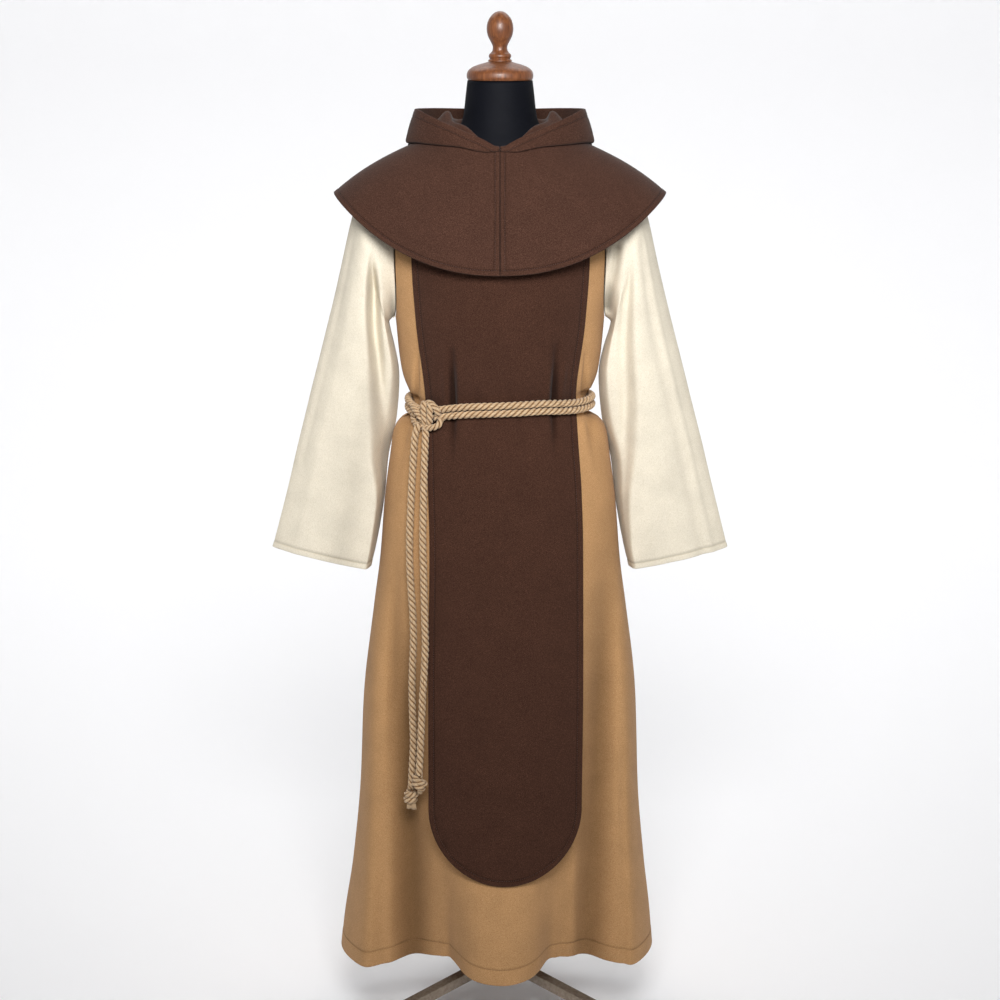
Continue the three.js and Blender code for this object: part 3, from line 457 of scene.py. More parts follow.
def crease_heights(x, z, creases):
    total = np.zeros(np.broadcast(x, z).shape)
    for x0, z0, x1, z1, width, depth in creases:
        run = np.array([x1 - x0, z1 - z0], float)
        t = np.clip(((x - x0) * run[0] + (z - z0) * run[1]) / (run @ run), 0, 1)
        away = np.hypot(x - x0 - t * run[0], z - z0 - t * run[1])
        taper = 0.3 + 0.7 * smoothstep(0, 0.8, t) if z1 == BELT_HEIGHT else 1 - 0.85 * smoothstep(0.1, 1, t)
        total += depth * taper * bell(away, 0, width)
    return total


def faced_creases(angle, x, z, front, back):
    return front_or_back(angle, crease_heights(x, z, front), crease_heights(x, z, back))


def ripples(x, z, seed, size, height):
    source = np.random.default_rng(seed)
    total = np.zeros(np.broadcast(x, z).shape)
    for _ in range(7):
        lean = source.normal(0, 0.35)
        wave = size * source.uniform(0.7, 1.7)
        phase = source.uniform(0, math.tau)
        slow = np.sin(z / source.uniform(180, 420) + source.uniform(0, 6))
        total += np.sin((x + lean * z) * math.tau / wave + phase) * (0.6 + 0.4 * slow)
    return height * total / 3


def neckline_height(angle, drop):
    return NECKLINE_HEIGHT - drop - NECKLINE_DIP * bell_around(angle, 0, 28)


def belt_dip(angle):
    return 12 * bell_around(angle, -55, 24)


def across_robe(angle, z):
    normal = outline_normal(ROBE_ROWS, angle, z)
    normal[..., 2] = 0
    return unit(normal)


def across_cloth(angle, z):
    on_form = smoothstep(1490, 1548, z)[..., None]
    return unit(across_robe(angle, z) * (1 - on_form) + outline_normal(FORM_ROWS, angle, z) * on_form)


def layer_point(angle, z, lift, out):
    angle, z = paired(angle, z)
    ease = 2.5 * smoothstep(0, 14, neckline_height(angle, UNDERLAYER_DROP) - z)
    on_form = outline_point(FORM_ROWS, angle, z)
    on_form = on_form + outline_normal(FORM_ROWS, angle, z) * (lift + ease)[..., None]
    free = outline_point(ROBE_ROWS, angle, z)
    creases = faced_creases(angle, free[..., 0], z, SHARED_CREASES, BACK_CREASES)
    free = free + across_robe(angle, z) * (creases + out)[..., None]
    share = smoothstep(1490, 1548, z)[..., None]
    point = free * (1 - share) + on_form * share
    point[..., 2] -= belt_dip(angle) * bell(z, BELT_HEIGHT, 70)
    return point


# %% [markdown]
# ## A wall of cloth
# Cloth has a thickness and soft edges. From a grid of points on its outer face and the direction across it,
# the helper makes the inner face 2 mm behind, and joins the two round every open edge with a row that
# stands a little proud, which shades like a turned and pressed edge. A relief raises or presses the outer
# face only: the doubled cloth of a hem, and the line where the stitches pull it in.
# Where the relief presses the face in, and where a fold or crease is marked deep, the wool is also painted
# darker: painted shade, kept at every point of the outer face for the material.

# %% A wall of cloth


def grid_normals(grid, closed=False):
    across = np.roll(grid, -1, axis=1) - np.roll(grid, 1, axis=1)
    if not closed:
        across[:, 0] = grid[:, 1] - grid[:, 0]
        across[:, -1] = grid[:, -1] - grid[:, -2]
    return unit(np.cross(across, np.gradient(grid, axis=0)))


def pushed(edge, inside, amount):
    return edge + unit(edge - inside) * amount


def bordered(face, middle, rolls, closed):
    low = pushed(middle[0], middle[1], rolls[0])
    high = pushed(middle[-1], middle[-2], rolls[1])
    rows = np.concatenate([low[None], face, high[None]])
    if closed:
        return rows
    left = pushed(middle[:, 0], middle[:, 1], rolls[2])
    right = pushed(middle[:, -1], middle[:, -2], rolls[3])
    left = np.concatenate([low[:1], left, high[:1]])
    right = np.concatenate([low[-1:], right, high[-1:]])
    return np.concatenate([left[:, None], rows, right[:, None]], axis=1)


def wall_of_cloth(
    name, face, normals, nodes, relief=0.0, rolls=(0.7, 0.7, 0.0, 0.0), closed=False, folded=0.0
):
    outer = face + normals * np.broadcast_to(relief, face.shape[:2])[..., None]
    inner = face - normals * CLOTH
    middle = (outer + inner) / 2
    outside = bordered(outer, middle, rolls, closed)
    inside = bordered(inner, middle, rolls, closed)
    rows, columns = outside.shape[:2]
    outer_index = np.arange(rows * columns).reshape(rows, columns)
    inner_index = outer_index + rows * columns
    inner_index[0] = outer_index[0]
    inner_index[-1] = outer_index[-1]
    if not closed:
        inner_index[:, 0] = outer_index[:, 0]
        inner_index[:, -1] = outer_index[:, -1]
    points = np.concatenate([outside.reshape(-1, 3), inside.reshape(-1, 3)])
    faces = []
    for index, turned in ((outer_index, False), (inner_index, True)):
        after = np.roll(index, -1, axis=1) if closed else index[:, 1:]
        here = index if closed else index[:, :-1]
        quads = np.stack([here[:-1], after[:-1], after[1:], here[1:]], axis=-1).reshape(-1, 4)
        faces.append(quads[:, ::-1] if turned else quads)
    faces = np.concatenate(faces)
    used, numbers = np.unique(faces, return_inverse=True)
    piece = make_piece(name, to_scene(points[used]), numbers.reshape(-1, 4).tolist(), nodes)
    # painted shade: darker wool in deep folds and creases, at seams and in the stitch grooves, where shade
    # falls
    painted_shade = np.clip(folded + np.clip(-np.broadcast_to(relief, face.shape[:2]), 0, 1), 0, 1)
    painted_shade = np.pad(painted_shade, ((1, 1), (0, 0)) if closed else 1, mode="edge")
    inside_values = np.zeros(painted_shade.size)
    keep_values(piece, "painted_shade", np.concatenate([painted_shade.ravel(), inside_values])[used])
    return piece


def level_edges(normals, axis):
    normals[:, [0, -1], axis] = 0
    return unit(normals)


def edge_relief(distance, stitch_at, proud=0.45, groove=0.8):
    raised = proud * (1 - smoothstep(stitch_at - 1, stitch_at + 1.5, distance))
    return raised - groove * bell(distance, stitch_at, 1.7)


def spaced(start, stop, step, near_start=(), near_stop=()):
    low = [start + near for near in near_start] or [start]
    high = [stop - near for near in near_stop] or [stop]
    count = max(2, round((high[-1] - low[-1]) / step) + 1)
    return np.concatenate([low[:-1], np.linspace(low[-1], high[-1], count), high[:-1][::-1]])


# %% [markdown]
# ## Robe
# The robe is two A-line panels. Below the hip its fullness falls into deep folds on each side of the
# middle, which grow towards the hem. The folds are written down in their own sizes: where they are round
# the skirt, how wide and how deep. The panels' sides are cut away for the armholes.

# %% Robe folds
SKIRT_FOLDS = [
    (28, 15, 0.32), (45, 12, 0.18), (-28, 15, 0.32), (-43, 12, 0.16), (118, 13, 0.12), (152, 14, 0.24),
    (-112, 14, 0.1), (-146, 15, 0.27),
]
FOLD_START = 900
HEM_HEIGHT = 125
ROBE_CREASES = [
    (-141, 1235, -146, 1138, 3.5, -7), (-152, 1215, -153, 1138, 4.5, 2.0), (147, 1225, 145, 1138, 3.5, -7),
    (156, 1200, 153, 1138, 4, 1.5), (-158, 1138, -172, 1030, 6, -5), (-146, 1138, -149, 1050, 5, 2.0),
    (150, 1138, 168, 1020, 6, -5), (142, 1138, 148, 1060, 5, 2.0),
]
# Long soft folds down the front of the skirt: start x, z, end x, z, half width, depth
SKIRT_DRAPE = [
    (-168, 900, -157, 150, 31, -27), (-176, 980, -200, 420, 9, -4), (-216, 940, -240, 150, 22, 17),
    (-196, 700, -202, 240, 12, 5), (191, 1010, 158, 150, 28, -22), (214, 960, 236, 150, 21, 15),
    (142, 900, 132, 300, 8, 4), (214, 640, 222, 200, 7, -4), (-60, 300, -66, 128, 14, -3),
    (12, 290, 16, 110, 30, 3), (70, 300, 84, 130, 14, -2.5),
]
ROBE_BACK_CREASES = [
    (-140, 1210, -136, 1138, 5, -3.5), (138, 1215, 134, 1138, 5, -3.5), (-140, 1138, -152, 1030, 7, -3),
    (136, 1138, 150, 1040, 7, -3),
]
HEM_RIPPLES = [
    (-103, 2.2), (-92, -2.0), (-83, 1.8), (-73, -1.2), (98, 2.0), (109, -1.8), (119, 1.8), (128, -1.4),
]


def fold_share(angle):
    return sum(depth * bell_around(angle, centre, spread) for centre, spread, depth in SKIRT_FOLDS)


def drape_heights(x, z):
    total = np.zeros(np.broadcast(x, z).shape)
    for x0, z0, x1, z1, width, depth in SKIRT_DRAPE:
        t = np.clip((z0 - z) / (z0 - z1), 0, 1.3)
        total += depth * smoothstep(0, 0.5, t) * bell(x, x0 + (x1 - x0) * t, width)
    return total


def robe_point(angle, z):
    point = layer_point(angle, z, ROBE_LIFT, 0.0)
    growth = np.clip((FOLD_START - z) / (FOLD_START - HEM_HEIGHT), 0, None) ** 2.4
    share = fold_share(angle) * growth
    point[..., :2] *= (1 - share)[..., None]
    narrowing = 9 * smoothstep(100, 280, point[..., 0]) + 4 * smoothstep(100, 280, -point[..., 0])
    point[..., 0] -= growth * narrowing
    rise = 13 * np.cos(np.radians(angle)) ** 2 + 30 * fold_share(angle)
    point[..., 2] += rise * (1 - smoothstep(HEM_HEIGHT, 609, z))
    front = front_or_back(angle, 1, 0)
    creases = faced_creases(angle, point[..., 0], z, ROBE_CREASES, ROBE_BACK_CREASES)
    hang = 1 - smoothstep(820, 1110, z)
    creases = creases + hang * ripples(point[..., 0], z, 11, 120, 0.9) * np.where(front, 1, 1.5)
    point[..., 1] -= front * drape_heights(point[..., 0], z)
    near_hem = bell(z, HEM_HEIGHT, 60)
    for x, height in HEM_RIPPLES:
        creases = creases + front * height * 0.8 * near_hem * bell(point[..., 0], x, 4)
    return point + across_robe(angle, z) * creases[..., None]


# %% Robe panels
ARMHOLE = {"z": 1407, "half_height": 124, "half_depth": 48}
HEM_STITCH = 27
ROBE_HEIGHTS = np.unique(np.concatenate([
    np.array([125, 127, 130, 135, 142, 148, 150, 151, 152, 153.5, 156, 162]), np.arange(170, 1100, 11),
    np.arange(1100, 1230, 5), np.arange(1230, 1283, 8),
    ARMHOLE["z"] + ARMHOLE["half_height"] * np.sin(np.radians(np.linspace(-90, 90, 33))),
]))
YOKE_START = ROBE_HEIGHTS[-1]
YOKE_STEPS = np.linspace(0, 1, 10)[1:]
ROBE_COLUMNS = 221


def armhole_limit(z):
    inside = np.clip(1 - ((z - ARMHOLE["z"]) / ARMHOLE["half_height"]) ** 2, 0, None)
    return ARMHOLE["half_depth"] * np.sqrt(inside)


def robe_grid(back):
    even = np.linspace(-1, 1, ROBE_COLUMNS)
    shares = np.sin(np.radians(90 * even)) * 0.35 + even * 0.65
    yoke = neckline_height(90 * shares + (180 if back else 0), UNDERLAYER_DROP) - YOKE_START
    body = np.repeat(ROBE_HEIGHTS[:, None], ROBE_COLUMNS, axis=1)
    heights = np.vstack([body, YOKE_START + YOKE_STEPS[:, None] * yoke])
    depth = curve_through(ROBE_ROWS, BACK if back else FRONT, heights)
    limit = 90 - np.degrees(np.arcsin(np.clip(armhole_limit(heights) / depth, 0, 1)))
    return (180 - limit * shares if back else limit * shares), heights


def robe_panel(name, back, node):
    angles, heights = robe_grid(back)
    face = robe_point(angles, heights)
    normals = level_edges(across_cloth(angles, heights), 1)
    open_side = armhole_limit(heights[:, 0]) < 0.5
    for edge in (0, -1):
        face[open_side, edge, 1] = SEAM_GAP / 2 if back else -SEAM_GAP / 2
    rim = np.minimum(np.linalg.norm(face - face[0], axis=2), 400)
    relief = edge_relief(rim, HEM_STITCH, 0.5, 0.7)
    side = np.minimum(np.linalg.norm(face - face[:, :1], axis=2), np.linalg.norm(face - face[:, -1:], axis=2))
    relief = relief - 0.9 * bell(side, 0, 2.5)
    # painted shade: on the front panel the wool is darker in the bottom of the long skirt folds and of the
    # creases by the belt, where shade falls
    folded = 0.0
    if not back:
        folded = np.clip(-drape_heights(face[..., 0], heights) / 31, 0, 0.85)
        folded = folded + np.clip(-crease_heights(face[..., 0], heights, ROBE_CREASES) / 16, 0, 0.4)
    piece = wall_of_cloth(
        name, face, normals, [node], relief, rolls=(0.9, 0.5, 0.0, 0.0), folded=folded
    )
    return piece, (face, normals)


robe_front, robe_front_grid = robe_panel("robe_front_cloth", False, "robe_front")
robe_back, robe_back_grid = robe_panel("robe_back_cloth", True, "robe_back")

# %% [markdown]
# ## Sleeves
# Each bell sleeve hangs down from its armhole beside the body. Its section is a flattened loop with one fold
# edge in front: the front of the sleeve faces the viewer, then turns in towards the body. A table gives the
# outer edge, the inner edge, the depth and where the fold lies, from the armhole to the cuff.

# %% Sleeve table
OUT_X, OUT_Z, IN_X, IN_Z, S_FRONT, S_BACK, SHARP, IN_Y = range(8)
SLEEVE_ROWS = np.array([
    (202, 1533, 188, 1279, 56, 56, 0, 0), (226, 1515, 193, 1275, 62, 60, 0.1, 0),
    (246, 1482, 197, 1269, 64, 62, 0.8, 0), (257, 1445, 195, 1255, 63, 62, 1, 2),
    (273, 1376, 188, 1226, 62, 62, 1, 4), (297, 1279, 182, 1177, 60, 60, 1, 8),
    (335, 1135, 187, 1099, 56, 58, 1, 20), (355, 1060, 199, 1030, 53, 57, 1, 32),
    (371, 995, 205, 962, 50, 56, 1, 28), (396, 900, 222, 866, 45, 50, 1, 0),
    (404, 871, 229, 838, 43, 48, 1, -8),
], float)
SLEEVE_SIDES = 144
CUFF_STITCH = 9

# The fold down the front of each sleeve, row by row: its place, the drop behind it and the rise after the
# drop
SLEEVE_FOLDS = {
    -1: [(0.40, 0, 0), (0.40, 0.1, 0), (0.42, 0.50, 0.30), (0.43, 0.62, 0.36), (0.46, 0.62, 0.34),
         (0.57, 0.62, 0.26), (0.71, 0.66, 0.05), (0.83, 0.6, 0), (0.93, 0.5, 0), (0.95, 0.5, 0),
         (0.95, 0.5, 0)],
    1: [(0.40, 0, 0), (0.40, 0.04, 0), (0.38, 0.10, 0), (0.40, 0.2, 0.04), (0.45, 0.28, 0.06),
        (0.51, 0.34, 0.12), (0.61, 0.42, 0.26), (0.75, 0.4, 0.2), (0.86, 0.4, 0.1), (0.93, 0.4, 0),
        (0.93, 0.4, 0)],
}

# Creases along a sleeve: share round it, row share at start and end, half width, depth
SLEEVE_CREASES = {
    -1: [(0.10, 0.15, 0.75, 0.022, -2.2), (0.16, 0.25, 1.0, 0.02, 1.6), (0.29, 0.2, 0.9, 0.02, -1.5),
         (0.62, 0.1, 0.9, 0.03, -3.5), (0.78, 0.2, 1.0, 0.03, -3.0), (0.9, 0.3, 1.0, 0.03, 2.0)],
    1: [(0.13, 0.12, 1.0, 0.014, 2.4), (0.165, 0.2, 1.0, 0.02, -3.0), (0.24, 0.3, 1.0, 0.025, 1.5),
        (0.31, 0.1, 0.5, 0.02, -3.0), (0.62, 0.1, 0.9, 0.03, -3.5), (0.8, 0.2, 1.0, 0.03, -3.0)],
}

# How much nearer to the body each sleeve hangs beside the waist
SLEEVE_NEARER = {-1: 5.0, 1: 9.0}

# Where the cloth is drawn in beside the armhole, and painted darker as shade: start, end, half width and depth
SLEEVE_DIPS = {
    -1: [(184, 1284, 185, 1345, 6, 9)],
    1: [(185, 1300, 191, 1360, 8, 14), (201, 1406, 192, 1335, 7, 11)],
}


def sleeve_section(row, turn, sharpness, fold):
    share = (1 - np.cos(turn)) / 2
    around = np.abs(np.sin(turn))
    front = turn <= math.pi
    rounded = np.where(front, -row[S_FRONT] * around, row[S_BACK] * around)
    place, drop, lift = fold
    rise = np.minimum(share / place, 1)
    fall = np.maximum((share - place) / (1 - place), 0)
    slow = smoothstep(0.5, 0.85, place)
    behind = 1 - drop * smoothstep(0, 0.3 + 0.6 * slow, fall) + lift * smoothstep(0.3, 0.66, fall)
    swell = np.sin(np.pi / 2 * rise**0.75) * behind * np.sqrt(1 - smoothstep(0.78 - 0.25 * slow, 1, fall))
    folded_back = row[S_BACK] * around**0.8 + row[IN_Y] * share
    folded = np.where(front, -row[S_FRONT] * swell + row[IN_Y] * fall, folded_back)
    sharp = row[SHARP] * sharpness
    return np.stack([
        row[OUT_X] + (row[IN_X] - row[OUT_X]) * share,
        rounded * (1 - sharp) + folded * sharp,
        row[OUT_Z] + (row[IN_Z] - row[OUT_Z]) * share,
    ], axis=-1)


def robe_side_x(y, z):
    half = layer_point(90.0, z, ROBE_LIFT, 0.0)[..., 0]
    front = np.abs(layer_point(0.0, z, ROBE_LIFT, 0.0)[..., 1])
    back = np.abs(layer_point(180.0, z, ROBE_LIFT, 0.0)[..., 1])
    depth = np.where(y < 0, front, back)
    return half * np.sqrt(np.clip(1 - (y / depth) ** 2, 0, None))


def between_rows(rows, at):
    table = np.column_stack([np.arange(len(rows), dtype=float), rows])
    return np.stack([curve_through(table, column, at) for column in range(1, table.shape[1])], axis=1)


def sleeve_grid(side, sharpness):
    turn = np.linspace(0, math.tau, SLEEVE_SIDES, endpoint=False)
    y = -ARMHOLE["half_depth"] * np.sin(turn)
    z = ARMHOLE["z"] + ARMHOLE["half_height"] * np.cos(turn)
    head = np.stack([robe_side_x(y, z) + 1, y * 1.02, z], axis=-1)
    at = np.concatenate([np.linspace(0, 9, 60), [9.2, 9.4, 9.6, 9.7, 9.76, 9.82, 9.9, 9.96, 10]])
    rows = between_rows(SLEEVE_ROWS, at)
    folds = between_rows(SLEEVE_FOLDS[side], at)
    rows[:, IN_X] -= SLEEVE_NEARER[side] * bell(at, 5.2, 1.7) + 4 * bell(at, 2.6, 1.5)
    body = np.array([sleeve_section(row, turn, sharpness, fold) for row, fold in zip(rows, folds)])
    reach = np.linspace(0, 1, 6, endpoint=False)[:, None, None]
    grid = np.concatenate([head[None] * (1 - reach) + body[:1] * reach, body])
    share_along = np.concatenate([np.zeros(6), at / 10])[:, None]
    share_round = (turn / math.tau)[None, :]
    dips = np.where(grid[..., 1] < 0, crease_heights(grid[..., 0], grid[..., 2], SLEEVE_DIPS[side]), 0)
    grid[..., 1] += dips
    lift = np.zeros(grid.shape[:2])
    for centre, start, end, width, depth in SLEEVE_CREASES[side]:
        held = smoothstep(start, start + 0.25, share_along) * (0.35 + 0.65 * share_along)
        lift += depth * bell(share_round, centre, width) * held * (share_along <= end)
    soft = ripples(grid[..., 0] + grid[..., 1], grid[..., 2], 5 + side, 90, 0.7)
    lift += soft * smoothstep(0.05, 0.3, share_along)
    grid = grid + grid_normals(grid, closed=True) * lift[..., None]
    normals = grid_normals(grid, closed=True)
    normals[0, :, 0] = 0
    # painted shade: the wool is darker in the dips beside the armhole, and on the left sleeve behind its front
    # fold, where shade falls
    behind = bell((share_round * math.tau % math.pi) / math.pi, 0.62, 0.1) * (share_round < 0.5)
    folded = np.clip(dips / 18, 0, 0.8) + 0.22 * behind * smoothstep(0.3, 0.6, share_along) * (side < 0)
    return grid, unit(normals), folded


def sleeve(name, side, sharpness, node):
    grid, normals, folded = sleeve_grid(side, sharpness)
    mirror = np.array([side, 1, 1])
    from_cuff = np.linalg.norm(grid - grid[-1:], axis=2)
    relief = edge_relief(from_cuff, CUFF_STITCH, 0.5, 0.8)
    piece = wall_of_cloth(
        name, grid * mirror, normals * mirror, [node], relief, rolls=(0.2, 0.9), closed=True,
        folded=folded,
    )
    return piece, (grid * mirror, normals * mirror)


sleeve_left, sleeve_left_grid = sleeve("sleeve_left_cloth", -1, 1.0, "sleeve_left")
sleeve_right, sleeve_right_grid = sleeve("sleeve_right_cloth", 1, 0.9, "sleeve_right")

# %% [markdown]
# ## Scapular
# The scapular is a long narrow panel over each shoulder, with a rounded lower end and a stitched edge. The
# grid follows its outline: columns crowd towards the edges, so the turned edge and the line of stitches
# have the points they need, and the end is a true half ellipse.

# %% Scapular
SCAPULAR_EDGE = np.array([
    (441, -125, 143), (659, -125, 145), (899, -122, 144), (990, -124, 141), (1090, -126, 134),
    (1155, -128, 131),
    (1280, -143, 145), (1399, -150, 152), (1640, -152, 153),
], float)
SCAPULAR_END_RISE = 127
SCAPULAR_STITCH = 9
SCAPULAR_LEVEL_TOP = 1490


def scapular_out(z):
    return SEAT_GAP + CLOTH + 2 * (1 - smoothstep(840, 1040, z))


def scapular_angle(x, z):
    half = curve_through(ROBE_ROWS, HALF, z) + scapular_out(z)
    return np.degrees(np.arcsin(np.clip(x / half, -1, 1)))


def scapular_point(angle, z):
    return layer_point(angle, z, SCAPULAR_LIFT, scapular_out(z))


def scapular_edges(z):
    left = curve_through(SCAPULAR_EDGE, 1, z)
    right = curve_through(SCAPULAR_EDGE, 2, z)
    return left, right, (left + right) / 2, (right - left) / 2


def outline_distance(x, z):
    left, right, middle, half = scapular_edges(z)
    low = SCAPULAR_EDGE[0, 0]
    share = np.hypot((x - middle) / half, np.minimum(z - low, 0) / SCAPULAR_END_RISE)
    return np.where(z >= low, np.minimum(x - left, right - x), (1 - share) * (half + SCAPULAR_END_RISE) / 2)


def scapular_level_rows(across):
    low = SCAPULAR_EDGE[0, 0] - SCAPULAR_END_RISE * np.sqrt(np.clip(1 - across**2, 0, None))
    shares = spaced(0, 1, 0.0085, (0, 0.0012, 0.003, 0.0055, 0.0075, 0.0085, 0.0105, 0.015), ())
    z = low[None] + (SCAPULAR_LEVEL_TOP - low)[None] * shares[:, None]
    left, right, middle, half = scapular_edges(z)
    x = middle + across[None] * half
    return x, z, scapular_angle(x, z)


# Over the shoulder the panel is as wide as its edge, or as the shoulder where that is narrower
def scapular_shoulder_rows(across):
    rows = []
    for step in np.linspace(0, 1, 14)[1:]:
        level = SCAPULAR_LEVEL_TOP + step * (neckline_height(90, UNDERLAYER_DROP) - SCAPULAR_LEVEL_TOP)
        half = float(scapular_point(90.0, level)[0])
        left = -min(half, -float(curve_through(SCAPULAR_EDGE, 1, level)))
        right = min(half, float(curve_through(SCAPULAR_EDGE, 2, level)))
        x = (left + right) / 2 + across * (right - left) / 2
        angle = np.degrees(np.arcsin(np.clip(x / half, -1, 1)))
        z = SCAPULAR_LEVEL_TOP + step * (neckline_height(angle, UNDERLAYER_DROP) - SCAPULAR_LEVEL_TOP)
        rows.append((x, z, angle))
    return [np.array(part) for part in zip(*rows)]


def scapular(name, back, node):
    across = np.sin(np.radians(np.linspace(-90, 90, 141)))
    below = scapular_level_rows(across)
    above = scapular_shoulder_rows(across)
    x, z, angle = [np.concatenate(pair) for pair in zip(below, above)]
    on_seam = np.abs(angle) > 89.9
    angle = 180 - angle if back else angle
    face = scapular_point(angle, z)
    normals = across_cloth(angle, z)
    face[on_seam, 1] = SEAM_GAP / 2 if back else -SEAM_GAP / 2
    normals[on_seam, 1] = 0
    normals = unit(normals)
    from_edge = np.where(z > SCAPULAR_LEVEL_TOP + 30, 50, outline_distance(x, z))
    relief = edge_relief(from_edge, SCAPULAR_STITCH, 0.5, 0.8)
    # painted shade: the front panel's wool is darker in the creases at the belt, where shade falls
    folded = 0.0 if back else np.clip(-crease_heights(face[..., 0], face[..., 2], SHARED_CREASES) / 8, 0, 1)
    return wall_of_cloth(
        name, face, normals, [node], relief, rolls=(0.8, 0.3, 0.5, 0.5), folded=folded
    )


scapular_front = scapular("scapular_front_cloth", False, "scapular_front")
scapular_back = scapular("scapular_back_cloth", True, "scapular_back")

# %% [markdown]
# ## Cape
# The shoulder cape is close to a half circle of cloth, joined in the middle front. It lies on the form at
# the neck and falls over the arms, so its hem is low in front and behind and high at the sides. It is the
# neckline joined to the hem, swelling between the two, with a few soft dips where the cloth hangs off the
# shoulders.

# %% Cape
CAPE_HEM = {
    "half": 283, "front": 160, "back": 154, "front_z": 1371, "back_z": 1362, "side_z": 1495, "rise": 2.3,
}
CAPE_FOLDS = [
    (24, 0.5, 9, 2.0), (47, 0.55, 10, -2.4), (66, 0.6, 8, 1.8), (-22, 0.5, 9, 1.8), (-44, 0.5, 10, -2.4),
    (-63, 0.6, 8, 2.0), (118, 0.5, 11, -3.0), (150, 0.45, 9, 2.4), (-124, 0.5, 11, -2.6),
    (-152, 0.5, 10, 2.6),
    (176, 0.4, 8, -1.5),
]


def cape_top(angle):
    z = neckline_height(angle, 0)
    return outline_point(FORM_ROWS, angle, z) + outline_normal(FORM_ROWS, angle, z) * CAPE_LIFT


def cape_hem(angle):
    turn = np.radians(angle)
    front = np.cos(turn) > 0
    low = np.where(front, CAPE_HEM["front_z"], CAPE_HEM["back_z"])
    z = low + (CAPE_HEM["side_z"] - low) * np.abs(np.sin(turn)) ** CAPE_HEM["rise"]
    depth = np.where(front, CAPE_HEM["front"], CAPE_HEM["back"])
    return np.stack([CAPE_HEM["half"] * np.sin(turn), -depth * np.cos(turn), z], axis=-1)


def cape_point(angle, step):
    angle, step = paired(angle, step)
    share = step[..., None]
    point = cape_top(angle) * (1 - share) + cape_hem(angle) * share
    swell = np.sin(np.pi * np.clip(step, 0, 1))
    point[..., :2] *= (1 + 0.06 * swell)[..., None]
    point[..., 2] += 6 * swell
    off = outline_normal(FORM_ROWS, angle, neckline_height(angle, 0))
    return point + off * (2.5 * smoothstep(0, 0.12, step))[..., None]


def cape_normal(angle, step):
    angle, step = paired(angle, step)
    across = cape_point(angle + 2, step) - cape_point(angle - 2, step)
    along = cape_point(angle, np.maximum(step - 0.02, 0)) - cape_point(angle, step + 0.02)
    return unit(np.cross(across, along))


def cape_folds(angle, step):
    total = 0
    for centre, start, spread, height in CAPE_FOLDS:
        total = total + height * bell_around(angle, centre, spread) * smoothstep(start - 0.25, 1.05, step)
    return total


CAPE_ANGLES = np.concatenate([
    [0, 0.5, 1.2, 2, 2.6, 3, 3.4, 4, 5, 6.5], np.linspace(8.5, 172, 76),
    [173.5, 175, 176, 176.6, 177, 177.4, 178, 178.8, 179.5, 180],
])
CAPE_STEPS = spaced(0, 1, 0.026, (), (0, 0.006, 0.014, 0.026, 0.036, 0.042, 0.048, 0.058, 0.07))
CAPE_HEM_STITCH = 8
CAPE_SEAM_STITCH = 8


def cape_half(name, side, node):
    angles = CAPE_ANGLES[None] * side
    steps = CAPE_STEPS[:, None]
    normals = cape_normal(angles, steps)
    face = cape_point(angles, steps) + normals * cape_folds(angles, steps)[..., None]
    normals = level_edges(normals, 0)
    face[:, [0, -1], 0] = side * SEAM_GAP / 2
    from_hem = np.linalg.norm(face - face[-1:], axis=2)
    from_seam = np.abs(face[..., 0])
    relief = edge_relief(from_hem, CAPE_HEM_STITCH, 0.5, 0.8)
    relief = relief + edge_relief(from_seam, CAPE_SEAM_STITCH, 0.5, 0.8) - 1.1 * bell(from_seam, 0, 1.6)
    piece = wall_of_cloth(name, face, normals, [node], relief, rolls=(0.3, 0.9, 0.0, 0.0))
    return piece, (face, normals)


cape_left, cape_left_grid = cape_half("cape_left_cloth", -1, "cape_left")
cape_right, cape_right_grid = cape_half("cape_right_cloth", 1, "cape_right")

# %% [markdown]
# ## Hood
# The hood lies down round the neck. At every angle round the neck its cloth goes up from the seam to a
# small fold, down into the hollow, out over the cape, and up again to the rim. At the back it is longer and
# hangs as a bag. Each section is a smooth curve through those places, and the sections make the surface.

# %% Hood
HOOD_RIM_HEIGHTS = np.array([
    (0, 1573), (4.7, 1581.5), (10, 1589), (14.8, 1594.5), (25, 1604), (33.5, 1612), (44.7, 1620.5),
    (55.8, 1628),
    (76.5, 1637), (120, 1636), (180, 1631),
], float)
HOOD_PEAK = {"angle": 90, "spread": 17, "height": 17, "least": 6}
HOOD_REST = SEAT_GAP + 0.3


